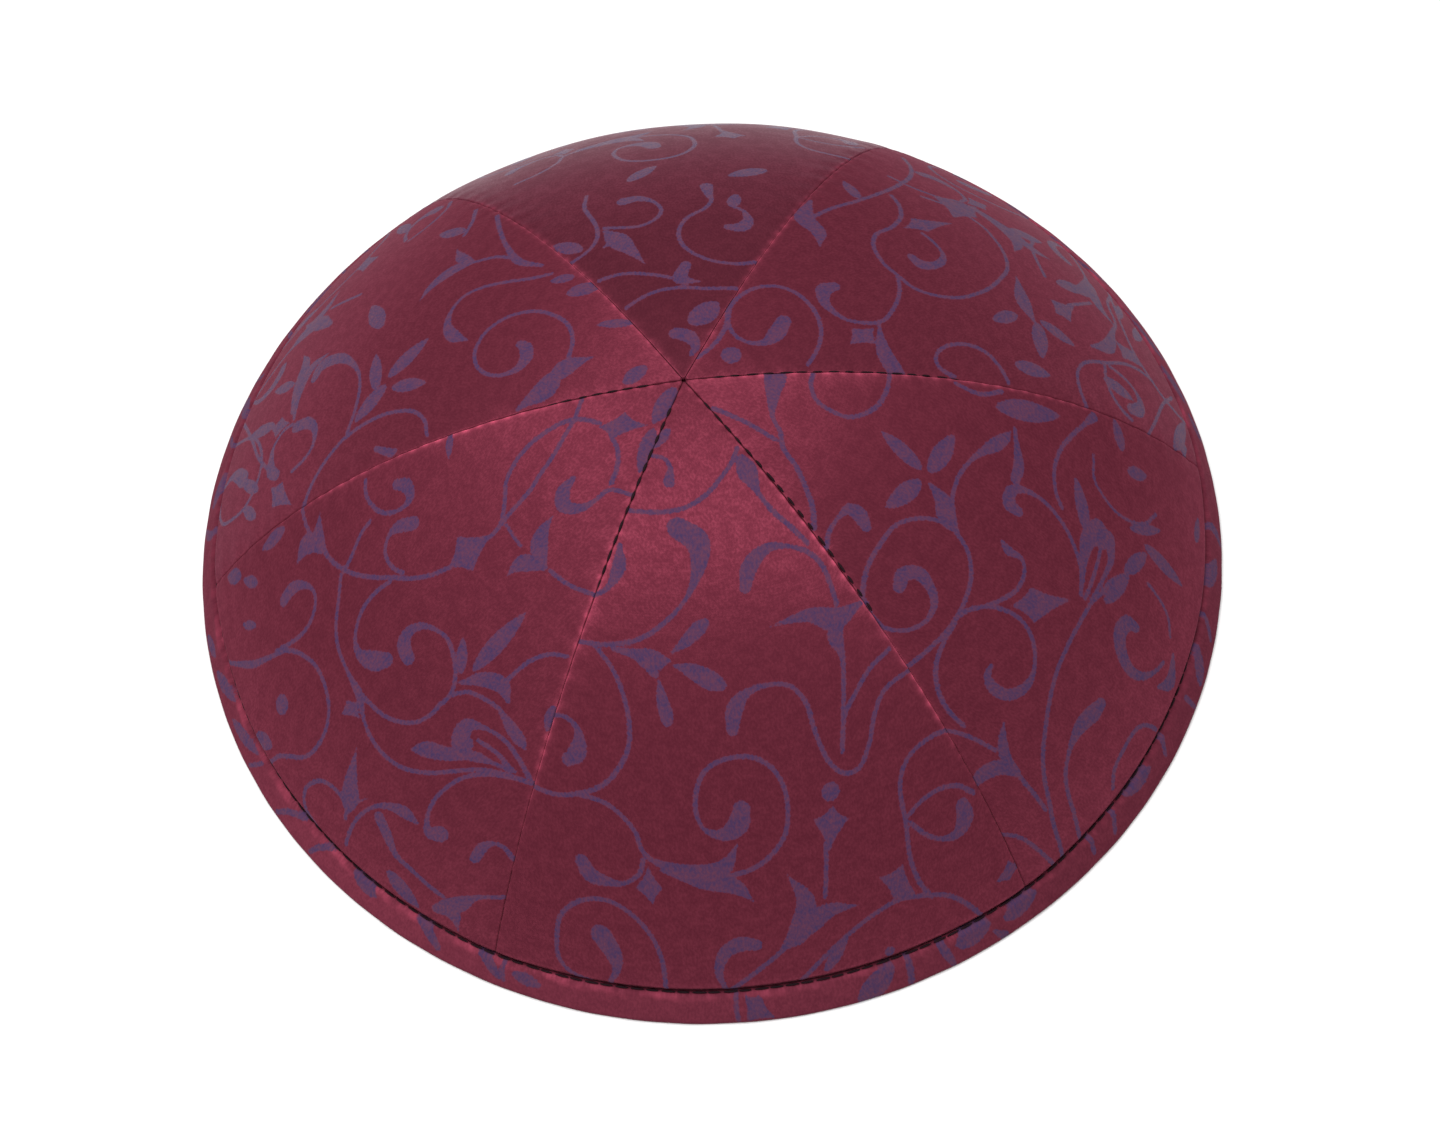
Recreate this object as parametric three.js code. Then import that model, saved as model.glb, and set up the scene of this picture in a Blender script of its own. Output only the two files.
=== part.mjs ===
// Six-panel kippah: six cloth gores sewn edge to edge over a shallow dome, and a folded strip bound round
// the rim. Millimetres, +Z up. The origin is the middle of the rim on the plane that it rests on, and the
// front gore faces -Y.
import * as THREE from 'three';

// Crown
const rimWidth = 166.4; // rim across, side to side
const rimLength = 169.6; // rim across, front to back
const crownHeight = 48.7; // resting plane to the top of the dome
const peakLean = 1.9; // the top lies this far towards -X
const seamRise = 1.1; // halfway up, seams stand out and gore middles lie in by this much

// Gores
const goreWall = 1.2; // outer cloth, its backing and the turned allowances together
const seamGap = 0.3; // clearance between neighbouring gores
const seamDip = 0.8; // how deep a gore's edge rolls down into its seam
const seamRoll = 3; // width of that rolled edge
const rollLimit = 0.5; // largest share of a gore's half width that its roll takes, near the top

// Rim binding
const bindingHeight = 4.4; // measured up along the cloth
const bindingWall = 1;
const bindingGap = 0.3; // clearance between the binding and the gores it wraps
const grooveRun = 2.6; // length over which a gore turns in under the binding
const foldRound = 0.7; // rounding of the fold either side of the flat that the rim rests on
const edgeRound = 0.3; // rounding of the binding's upper edges
const roundInset = 1 - Math.SQRT1_2; // a rounding's middle lies this share of its radius in from the corner

// Mesh steps
const middleColumns = 4; // from a gore's centre line to its rolled edge
const rollColumns = 3;
const crownRows = 18;
const grooveRows = 3;
const pocketRows = 2;
const bindingSteps = 96;

// Gores in order round the crown from the front one, seen from above
const goreNames = [
  'gore_front',
  'gore_right_front',
  'gore_right_back',
  'gore_back',
  'gore_left_back',
  'gore_left_front',
];
const goreAngle = (2 * Math.PI) / goreNames.length;
const frontAngle = -Math.PI / 2;

// Worked out from the sizes above
const rimRadius = (rimWidth + rimLength) / 4;
const ovalShare = (rimLength - rimWidth) / (rimLength + rimWidth);
const domeRise = crownHeight - foldRound;
const domeRadius = (rimRadius ** 2 + domeRise ** 2) / (2 * domeRise);
const domeBase = crownHeight - domeRadius;
const rimTilt = Math.atan2(rimRadius, domeRadius - domeRise);
const tuckDepth = bindingWall + bindingGap;
const bindingDepth = 2 * tuckDepth + goreWall;
const bindingTopTilt = rimTilt - bindingHeight / domeRadius;
const bindingTop = domeBase + domeRadius * Math.cos(bindingTopTilt);
const tuckedTilt = bindingTopTilt - bindingGap / domeRadius;
const grooveTilt = tuckedTilt - grooveRun / domeRadius;
const goreFoot = bindingWall + bindingGap;
const tipRadius = seamGap / goreAngle;

// A point of the crown: tilt is its angle from the dome's top, depth is how far it lies under the outer face
function shellPoint(angle, tilt, depth) {
  const share = tilt / rimTilt;
  const ridge = seamRise * Math.sin(Math.PI * share) * Math.cos(goreNames.length * angle);
  const oval = 1 - ovalShare * share * Math.cos(2 * angle);
  const radius = ((domeRadius - depth) * Math.sin(tilt) + ridge) * oval;
  const lean = peakLean * (1 - share) ** 2;
  const height = domeBase + (domeRadius - depth) * Math.cos(tilt);
  return new THREE.Vector3(radius * Math.cos(angle) - lean, radius * Math.sin(angle), height);
}

// The tilt at which the shell of a given depth reaches a height or a radius
function tiltAtHeight(height, depth) {
  return Math.acos((height - domeBase) / (domeRadius - depth));
}

function tiltAtRadius(radius, depth) {
  return Math.asin(radius / (domeRadius - depth));
}

function smooth(share) {
  const held = Math.min(Math.max(share, 0), 1);
  return held * held * (3 - 2 * held);
}

function mix(from, to, share) {
  return from + (to - from) * share;
}

// Half a gore's width at a tilt, less its share of the seam gap
function halfWidth(tilt, depth) {
  return ((domeRadius - depth) * Math.sin(tilt) * goreAngle - seamGap) / 2;
}

// Width of the rolled edge at a tilt: it narrows where the gore itself is narrow
function rollWidth(tilt) {
  return Math.min(seamRoll, rollLimit * halfWidth(tilt, 0));
}

// How far the gore's outer face lies under the dome: rolled down at its seams, tucked in under the binding
function goreDepth(fromSeam, tilt) {
  const rolled = seamDip * (1 - Math.min(fromSeam / rollWidth(tilt), 1)) ** 2;
  const tucked = smooth((tilt - grooveTilt) / (tuckedTilt - grooveTilt));
  return mix(rolled, tuckDepth, tucked);
}

// Rows of a gore from its tip to its foot, as tilts of the outer face
function goreRows() {
  const rows = [];
  const tip = tiltAtRadius(tipRadius, 0);
  const foot = tiltAtHeight(goreFoot, tuckDepth);
  for (let row = 0; row < crownRows; row += 1) {
    rows.push(mix(tip, grooveTilt, row / crownRows));
  }
  for (let row = 0; row < grooveRows; row += 1) {
    rows.push(mix(grooveTilt, tuckedTilt, row / grooveRows));
  }
  for (let row = 0; row <= pocketRows; row += 1) {
    rows.push(mix(tuckedTilt, foot, row / pocketRows));
  }
  return rows;
}

// Columns of a gore at a tilt, as signed distances from its centre line
function goreColumns(tilt) {
  const half = halfWidth(tilt, 0);
  const rollStart = half - rollWidth(tilt);
  const side = [];
  for (let column = 0; column < middleColumns; column += 1) {
    side.push((rollStart * column) / middleColumns);
  }
  for (let column = 0; column <= rollColumns; column += 1) {
    side.push(mix(rollStart, half, column / rollColumns));
  }
  const mirrored = side.slice(1).reverse().map((distance) => -distance);
  return [...mirrored, ...side];
}

// One face of a gore: a tip, then rows of points, at an extra depth below the outer face
function goreFace(centre, underOuter) {
  const outerFoot = tiltAtHeight(goreFoot, tuckDepth);
  const faceFoot = tiltAtHeight(goreFoot, tuckDepth + underOuter);
  const rows = goreRows().slice(1);
  const points = [shellPoint(centre, tiltAtRadius(tipRadius, underOuter), underOuter)];
  for (const tilt of rows) {
    const inPocket = smooth((tilt - tuckedTilt) / (outerFoot - tuckedTilt));
    const faceTilt = tilt * mix(1, faceFoot / outerFoot, inPocket);
    const outerHalf = halfWidth(tilt, 0);
    const faceHalf = halfWidth(faceTilt, underOuter);
    const radius = (domeRadius - underOuter) * Math.sin(faceTilt);
    for (const across of goreColumns(tilt)) {
      const angle = centre + (across / outerHalf) * (faceHalf / radius);
      const depth = goreDepth(outerHalf - Math.abs(across), tilt) + underOuter;
      points.push(shellPoint(angle, faceTilt, depth));
    }
  }
  return points;
}

function geometryFrom(points, triangles) {
  const geometry = new THREE.BufferGeometry();
  geometry.setAttribute('position', new THREE.Float32BufferAttribute(points.flatMap((p) => p.toArray()), 3));
  geometry.setIndex(triangles.flat());
  geometry.computeVertexNormals();
  return geometry;
}

// A gore is a closed wall: outer face, inner face, and the edges that join them
function goreGeometry(centre) {
  const outer = goreFace(centre, 0);
  const inner = goreFace(centre, goreWall);
  const columns = 2 * (middleColumns + rollColumns);
  const lastRow = goreRows().length - 1;
  const at = (row, column) => (row === 0 ? 0 : 1 + (row - 1) * (columns + 1) + column);
  const under = (row, column) => outer.length + at(row, column);
  const triangles = [];
  const quad = (a, b, c, d) => {
    for (const triangle of [[a, b, c], [a, c, d]]) {
      if (new Set(triangle).size === triangle.length) {
        triangles.push(triangle);
      }
    }
  };
  for (let row = 0; row < lastRow; row += 1) {
    for (let column = 0; column < columns; column += 1) {
      quad(at(row, column), at(row + 1, column), at(row + 1, column + 1), at(row, column + 1));
      quad(under(row, column), under(row, column + 1), under(row + 1, column + 1), under(row + 1, column));
    }
    quad(at(row, 0), under(row, 0), under(row + 1, 0), at(row + 1, 0));
    quad(at(row, columns), at(row + 1, columns), under(row + 1, columns), under(row, columns));
  }
  for (let column = 0; column < columns; column += 1) {
    quad(at(lastRow, column), under(lastRow, column), under(lastRow, column + 1), at(lastRow, column + 1));
  }
  return geometryFrom([...outer, ...inner], triangles);
}

// The binding's section as heights and depths: down the outside, under the gores' feet and up the inside
function bindingSection() {
  const mouth = tuckDepth - bindingGap;
  return [
    { height: bindingTop, depth: mouth - edgeRound },
    { height: bindingTop, depth: edgeRound },
    { height: bindingTop - edgeRound, depth: 0 },
    { height: foldRound, depth: 0 },
    { height: foldRound * roundInset, depth: foldRound * roundInset },
    { height: 0, depth: foldRound },
    { height: 0, depth: bindingDepth - foldRound },
    { height: foldRound * roundInset, depth: bindingDepth - foldRound * roundInset },
    { height: foldRound, depth: bindingDepth },
    { height: bindingTop - edgeRound, depth: bindingDepth },
    { height: bindingTop, depth: bindingDepth - edgeRound },
    { height: bindingTop, depth: bindingDepth - mouth },
    { height: bindingWall, depth: bindingDepth - mouth },
    { height: bindingWall, depth: mouth },
  ];
}

// The binding is its section carried round the rim
function bindingGeometry() {
  const section = bindingSection();
  const points = [];
  const triangles = [];
  for (let step = 0; step < bindingSteps; step += 1) {
    const angle = (2 * Math.PI * step) / bindingSteps;
    const next = (step + 1) % bindingSteps;
    section.forEach(({ height, depth }, corner) => {
      points.push(shellPoint(angle, tiltAtHeight(height, depth), depth));
      const after = (corner + 1) % section.length;
      const a = step * section.length + corner;
      const b = step * section.length + after;
      const c = next * section.length + after;
      const d = next * section.length + corner;
      triangles.push([a, b, c], [a, c, d]);
    });
  }
  return geometryFrom(points, triangles);
}

const brocade = new THREE.MeshStandardMaterial({ color: 0x73283a, roughness: 0.5, metalness: 0 });
const binding = new THREE.MeshStandardMaterial({ color: 0x6e2c3f, roughness: 0.6, metalness: 0 });

const kippah = new THREE.Group();

goreNames.forEach((name, index) => {
  const gore = new THREE.Mesh(goreGeometry(frontAngle + index * goreAngle), brocade);
  gore.name = name;
  kippah.add(gore);
});

const rimBinding = new THREE.Mesh(bindingGeometry(), binding);
rimBinding.name = 'rim_binding';
kippah.add(rimBinding);

export default kippah;
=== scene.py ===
# Six-gore brocade kippah: satin gores with a woven scroll, a bound rim, and the threads of its seams.
# The crown is worked out in millimetres from the CAD source's sizes, and placed in metres.
import math
import bmesh
import bpy
import numpy as np
from mathutils import Matrix, Vector


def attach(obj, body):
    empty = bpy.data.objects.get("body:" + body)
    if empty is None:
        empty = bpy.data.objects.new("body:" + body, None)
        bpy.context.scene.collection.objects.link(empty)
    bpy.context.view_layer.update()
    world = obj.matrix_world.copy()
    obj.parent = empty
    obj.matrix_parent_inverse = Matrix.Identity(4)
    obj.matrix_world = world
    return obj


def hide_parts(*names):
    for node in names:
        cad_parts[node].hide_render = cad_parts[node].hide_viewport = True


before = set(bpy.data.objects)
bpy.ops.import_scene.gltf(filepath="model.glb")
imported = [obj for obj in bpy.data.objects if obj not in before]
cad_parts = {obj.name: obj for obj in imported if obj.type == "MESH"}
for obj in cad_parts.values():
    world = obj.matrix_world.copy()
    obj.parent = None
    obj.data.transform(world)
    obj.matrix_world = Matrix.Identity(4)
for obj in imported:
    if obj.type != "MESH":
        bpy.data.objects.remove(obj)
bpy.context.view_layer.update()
print("frame loaded")

millimetre = 0.001
decimetre = 100  # in millimetres

# The crown's own sizes, as in the CAD source
crown = {
    "rimWidth": 166.4,
    "rimLength": 169.6,
    "height": 48.7,
    "peakLean": 1.9,  # the top lies this far towards -X
    "seamRise": 1.1,  # halfway up, seams stand out and gore middles lie in by this much
    "foldRound": 0.7,
}
goreNames = [
    "gore_front",
    "gore_right_front",
    "gore_right_back",
    "gore_back",
    "gore_left_back",
    "gore_left_front",
]
goreAngle = 2 * math.pi / len(goreNames)
frontAngle = -math.pi / 2
rimRadius = (crown["rimWidth"] + crown["rimLength"]) / 4
ovalShare = (crown["rimLength"] - crown["rimWidth"]) / (crown["rimLength"] + crown["rimWidth"])
domeRise = crown["height"] - crown["foldRound"]
domeRadius = (rimRadius**2 + domeRise**2) / (2 * domeRise)
domeBase = crown["height"] - domeRadius
rimTilt = math.atan2(rimRadius, domeRadius - domeRise)


# A point of the crown in metres: tilt is its angle from the top, depth is how far it lies under the cloth's
# face. Each gore is drawn flat across, so the crown has a crease along every seam.
def shellPoint(angle, tilt, depth):
    share = tilt / rimTilt
    fromMiddle = (angle - frontAngle + goreAngle / 2) % goreAngle - goreAngle / 2
    crease = (1 / np.cos(fromMiddle) - 1) / (1 / math.cos(goreAngle / 2) - 1)
    ridge = crown["seamRise"] * np.sin(np.pi * share) * (2 * crease - 1)
    oval = 1 - ovalShare * share * np.cos(2 * angle)
    radius = ((domeRadius - depth) * np.sin(tilt) + ridge) * oval
    x = radius * np.cos(angle) - crown["peakLean"] * (1 - share) ** 2
    y = radius * np.sin(angle)
    z = domeBase + (domeRadius - depth) * np.cos(tilt)
    return np.stack([x, y, z], axis=-1) * millimetre


def tiltAtHeight(height, depth):
    return np.arccos((height - domeBase) / (domeRadius - depth))


def smooth(share):
    held = np.clip(share, 0, 1)
    return held * held * (3 - 2 * held)


def mix(start, end, share):
    return start + (end - start) * share


# Slow, seedless unevenness from -1 to 1, for hand-sewn cloth. Its odd numbers keep the three waves apart.
def waver(along, across, wave):
    first = np.sin(along / wave + 1.3 * np.sin(across / wave * 0.7 + 0.4))
    second = np.sin(across / wave * 1.3 + 1.7 + 0.9 * np.sin(along / wave * 0.8))
    third = np.sin((along + across) / wave * 0.53 + 2.1)
    return (first + second + third) / 3


# Node helpers: an input is either a value or another node's output
def feed(tree, made, inputs):
    for name, value in inputs.items():
        if isinstance(value, bpy.types.NodeSocket):
            tree.links.new(value, made.inputs[name])
        else:
            made.inputs[name].default_value = value


def node(tree, kind, inputs=None, **settings):
    made = tree.nodes.new(kind)
    for name, value in settings.items():
        setattr(made, name, value)
    feed(tree, made, inputs or {})
    return made


def useGroup(tree, group, inputs):
    return node(tree, "ShaderNodeGroup", inputs, node_tree=group)


def calc(tree, operation, first, second=0.0):
    return node(tree, "ShaderNodeMath", {0: first, 1: second}, operation=operation).outputs[0]


# A base plus a share of a value
def plusShare(tree, base, value, share, clamp=False):
    inputs = {0: value, 1: share, 2: base}
    return node(tree, "ShaderNodeMath", inputs, operation="MULTIPLY_ADD", use_clamp=clamp).outputs[0]


def blendColour(tree, factor, first, second):
    return node(tree, "ShaderNodeMix", {0: factor, 6: first, 7: second}, data_type="RGBA").outputs[2]


def rangeOf(tree, value, low, high, toLow=0.0, toHigh=1.0):
    inputs = {"Value": value, "From Min": low, "From Max": high, "To Min": toLow, "To Max": toHigh}
    return node(tree, "ShaderNodeMapRange", inputs, interpolation_type="SMOOTHSTEP").outputs[0]


def nodeGroup(name, inputs, outputs):
    tree = bpy.data.node_groups.new(name, "ShaderNodeTree")
    for label, kind, value in inputs:
        socket = tree.interface.new_socket(label, in_out="INPUT", socket_type=kind)
        if value is not None:
            socket.default_value = value
    for label, kind in outputs:
        tree.interface.new_socket(label, in_out="OUTPUT", socket_type=kind)
    return tree, tree.nodes.new("NodeGroupInput"), tree.nodes.new("NodeGroupOutput")


# Satin grain: short bright floats along the warp, and a soft mottle where the cloth has crept
def makeGrainGroup():
    tree, given, result = nodeGroup(
        "satinGrain",
        [("Vector", "NodeSocketVector", None), ("Scale", "NodeSocketFloat", 1.0)],
        [("Floats", "NodeSocketFloat"), ("Mottle", "NodeSocketFloat")],
    )
    inputs = {0: given.outputs["Vector"], "Scale": given.outputs["Scale"]}
    scaled = node(tree, "ShaderNodeVectorMath", inputs, operation="SCALE").outputs[0]
    stretched = node(tree, "ShaderNodeMapping", {"Vector": scaled, "Scale": (2.7, 1.8, 1)}).outputs[0]
    floats = node(tree, "ShaderNodeTexNoise", {"Vector": stretched, "Scale": 1.0, "Detail": 2.0})
    mottle = node(tree, "ShaderNodeTexNoise", {"Vector": scaled, "Scale": 0.55, "Detail": 3.0})
    tree.links.new(rangeOf(tree, floats.outputs["Fac"], 0.3, 0.7), result.inputs["Floats"])
    tree.links.new(rangeOf(tree, mottle.outputs["Fac"], 0.32, 0.68), result.inputs["Mottle"])
    return tree


# Weave: the fine lift of warp over weft, from two crossed waves
def makeWeaveGroup():
    tree, given, result = nodeGroup(
        "threadWeave",
        [("Vector", "NodeSocketVector", None), ("Threads", "NodeSocketFloat", 3.0)],
        [("Height", "NodeSocketFloat")],
    )
    waves = []
    for direction in ("X", "Y"):
        inputs = {"Vector": given.outputs["Vector"], "Scale": given.outputs["Threads"], "Distortion": 0.6}
        wave = node(tree, "ShaderNodeTexWave", inputs, bands_direction=direction, wave_profile="SIN")
        waves.append(wave.outputs["Fac"])
    tree.links.new(calc(tree, "MAXIMUM", waves[0], waves[1]), result.inputs["Height"])
    return tree


# Woven edge: turns a distance in millimetres into a mask whose edge steps from thread to thread
def makeEdgeGroup():
    tree, given, result = nodeGroup(
        "wovenEdge",
        [
            ("Distance", "NodeSocketFloat", 0.0),
            ("Vector", "NodeSocketVector", None),
            ("Raggedness", "NodeSocketFloat", 0.12),
            ("Softness", "NodeSocketFloat", 0.12),
        ],
        [("Mask", "NodeSocketFloat")],
    )
    inputs = {"Vector": given.outputs["Vector"], "Scale": 2.3, "Detail": 1.0}
    ragged = node(tree, "ShaderNodeTexNoise", inputs).outputs["Fac"]
    swing = calc(tree, "MULTIPLY", given.outputs["Raggedness"], 4.0)
    moved = plusShare(tree, given.outputs["Distance"], calc(tree, "SUBTRACT", ragged, 0.5), swing)
    low = calc(tree, "MULTIPLY", given.outputs["Softness"], -1.0)
    tree.links.new(rangeOf(tree, moved, low, given.outputs["Softness"]), result.inputs["Mask"])
    return tree


grainGroup = makeGrainGroup()
weaveGroup = makeWeaveGroup()
edgeGroup = makeEdgeGroup()


def newMaterial(name):
    material = bpy.data.materials.new(name)
    material.use_nodes = True
    tree = material.node_tree
    tree.nodes.clear()
    shader = tree.nodes.new("ShaderNodeBsdfPrincipled")
    node(tree, "ShaderNodeOutputMaterial", {"Surface": shader.outputs[0]})
    return material, tree, shader


def attributeOf(tree, name):
    return node(tree, "ShaderNodeAttribute", attribute_name=name, attribute_type="GEOMETRY")


# Brocade: red satin ground with a matte purple scroll. Its colour also holds painted highlights on the seam
# folds and the binding's upper edge, and painted shade on the gores turned from the light. Cloth coordinates
# are in millimetres.
brocadeLooks = {
    "groundDark": (0.160, 0.0240, 0.0450, 1),
    "groundLight": (0.215, 0.0345, 0.0605, 1),
    # painted shade: the dark red that a gore's ground nears as its painted light level falls
    "paintedShadeColour": (0.062, 0.016, 0.026, 1),  # what a gore's ground nears as its tone falls
    "scrollDark": (0.052, 0.030, 0.088, 1),
    "scrollLight": (0.122, 0.038, 0.072, 1),
    # painted highlight: the pink that the ground turns to on the seam folds and the binding's glinting edge
    "foldHighlightColour": (0.55, 0.085, 0.15, 1),
    "threads": 0.75,
    "mottleShare": 0.4,  # of the shade; the floats make the rest
    "groundRoughness": 0.6,
    "scrollRoughness": 0.72,
    "roughSpread": 0.16,  # dark floats are duller than light ones by this much
    "groundMetal": 0.62,  # satin floats mirror light in their own colour
    "scrollMetal": 0.03,
    "sheen": 0.04,
    "sheenRoughness": 0.35,
    "sheenTint": (0.85, 0.6, 0.66, 1),
    "specular": 0.16,
    "edgeTint": (0.55, 0.36, 0.44, 1),
    "threadShine": 0.95,  # the satin's floats run straight down each gore, so its shine spreads across them
    "shineTurn": 0.25,
    "reliefHeight": 0.000010,
    "reliefShares": (0.5, 0.5, 0.25, 0.5),  # how far mottle, floats, weave and scroll stand up
}


def makeBrocade():
    looks = brocadeLooks
    material, tree, shader = newMaterial("brocade")
    cloth = attributeOf(tree, "cloth").outputs["Vector"]
    grain = useGroup(tree, grainGroup, {"Vector": cloth, "Scale": 1.0}).outputs
    weave = useGroup(tree, weaveGroup, {"Vector": cloth, "Threads": looks["threads"]}).outputs["Height"]
    distance = attributeOf(tree, "scroll").outputs["Fac"]
    mask = useGroup(tree, edgeGroup, {"Distance": distance, "Vector": cloth}).outputs["Mask"]
    mottled = calc(tree, "MULTIPLY", grain["Mottle"], looks["mottleShare"])
    shade = plusShare(tree, mottled, grain["Floats"], 1 - looks["mottleShare"])
    ground = blendColour(tree, shade, looks["groundDark"], looks["groundLight"])
    # Painted shade: each gore's ground darkens by its painted light level, most on the gore turned from the
    # light
    ground = blendColour(tree, attributeOf(tree, "paintedLight").outputs["Fac"], looks["paintedShadeColour"], ground)
    # Painted highlight: the fold attribute turns the ground pink where seam folds and the binding's edge
    # catch light
    folded = blendColour(tree, attributeOf(tree, "fold").outputs["Fac"], ground, looks["foldHighlightColour"])
    scroll = blendColour(tree, shade, looks["scrollDark"], looks["scrollLight"])
    duller = looks["scrollRoughness"] - looks["groundRoughness"]
    rough = plusShare(tree, looks["groundRoughness"], mask, duller)
    rough = plusShare(tree, rough, calc(tree, "SUBTRACT", 0.5, shade), looks["roughSpread"], clamp=True)
    metal = plusShare(tree, looks["groundMetal"], mask, looks["scrollMetal"] - looks["groundMetal"])
    height = 0.0
    for raised, share in zip((grain["Mottle"], grain["Floats"], weave, mask), looks["reliefShares"]):
        height = plusShare(tree, height, raised, share)
    inputs = {"Height": height, "Distance": looks["reliefHeight"], "Strength": 1.0}
    feed(tree, shader, {
        "Base Color": blendColour(tree, mask, folded, scroll),
        "Roughness": rough,
        "Metallic": metal,
        "Normal": node(tree, "ShaderNodeBump", inputs).outputs[0],
        "Tangent": node(tree, "ShaderNodeTangent", direction_type="UV_MAP", uv_map="panel").outputs[0],
        "Sheen Weight": looks["sheen"],
        "Sheen Roughness": looks["sheenRoughness"],
        "Sheen Tint": looks["sheenTint"],
        "Specular IOR Level": looks["specular"],
        "Specular Tint": looks["edgeTint"],
        "Anisotropic": looks["threadShine"],
        "Anisotropic Rotation": looks["shineTurn"],
    })
    return material


# The cloth's reverse, seen only from underneath: the same red, dull and evenly woven
reverseLooks = {
    "dark": (0.10, 0.014, 0.028, 1),
    "light": (0.15, 0.022, 0.042, 1),
    "grainScale": 1.6,
    "threads": 0.6,
    "roughness": 0.68,
    "roughSpread": 0.12,
    "reliefHeight": 0.00005,
    "reliefStrength": 0.8,
}


def makeReverse():
    looks = reverseLooks
    material, tree, shader = newMaterial("cloth_reverse")
    cloth = attributeOf(tree, "cloth").outputs["Vector"]
    grain = useGroup(tree, grainGroup, {"Vector": cloth, "Scale": looks["grainScale"]}).outputs
    weave = useGroup(tree, weaveGroup, {"Vector": cloth, "Threads": looks["threads"]}).outputs["Height"]
    inputs = {"Height": weave, "Distance": looks["reliefHeight"], "Strength": looks["reliefStrength"]}
    feed(tree, shader, {
        "Base Color": blendColour(tree, grain["Floats"], looks["dark"], looks["light"]),
        "Roughness": plusShare(tree, looks["roughness"], grain["Mottle"], looks["roughSpread"]),
        "Normal": node(tree, "ShaderNodeBump", inputs).outputs[0],
    })
    return material


# Sewing thread: dark, slightly glossy, with a twist that shows as fine uneven bands. Its near-black colour
# is partly the thread's own, partly painted shade for the shadow in the seam ditches and the binding's
# groove.
threadAndShadeLooks = {
    "dark": (0.006, 0.0025, 0.004, 1),
    "light": (0.022, 0.006, 0.010, 1),
    "twistScale": 2600.0,
    "roughness": (0.7, 0.9),
    "specular": 0.12,
    "reliefHeight": 0.00004,
    "reliefStrength": 0.7,
}


def makeThread():
    looks = threadAndShadeLooks
    material, tree, shader = newMaterial("seam_thread_and_shade")
    place = node(tree, "ShaderNodeTexCoord").outputs["Object"]
    inputs = {"Vector": place, "Scale": looks["twistScale"], "Detail": 1.0}
    twist = node(tree, "ShaderNodeTexNoise", inputs).outputs["Fac"]
    inputs = {"Height": twist, "Distance": looks["reliefHeight"], "Strength": looks["reliefStrength"]}
    feed(tree, shader, {
        "Base Color": blendColour(tree, twist, looks["dark"], looks["light"]),
        "Roughness": rangeOf(tree, twist, 0.3, 0.7, *looks["roughness"]),
        "Specular IOR Level": looks["specular"],
        "Normal": node(tree, "ShaderNodeBump", inputs).outputs[0],
    })
    return material


# The woven scroll, charted on each gore laid flat: millimetres across from its middle, and down from
# its tip. A vine is a run of points, with a half width where it isn't the plain line's; a leaf is its two
# ends and half width; a dart is a four-cornered bud; a dot is its middle and radius.
scrollLines = {
    "vineHalf": 0.38,  # half width of a plain vine
    "pointHalf": 0.05,  # and of a pointed end
    "runStep": 0.6,
    "leafPoints": 13,
    "leafBelly": 0.85,  # under 1, a leaf is broadest nearer its first end
    "leafFullness": 0.8,
    "dotStroke": 0.01,  # a dot is a stroke that runs this far up and down
    "dartPoints": 6,
    "dartBow": 0.14,  # a bud's sides bow in by this share of the way to its middle
    "reach": 1.5,  # the distance from the scroll's edge is kept to this
    "margin": 2,
}
farAway = 9.0  # a distance past every reach
veryShort = 1e-9  # divides in place of nothing

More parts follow.
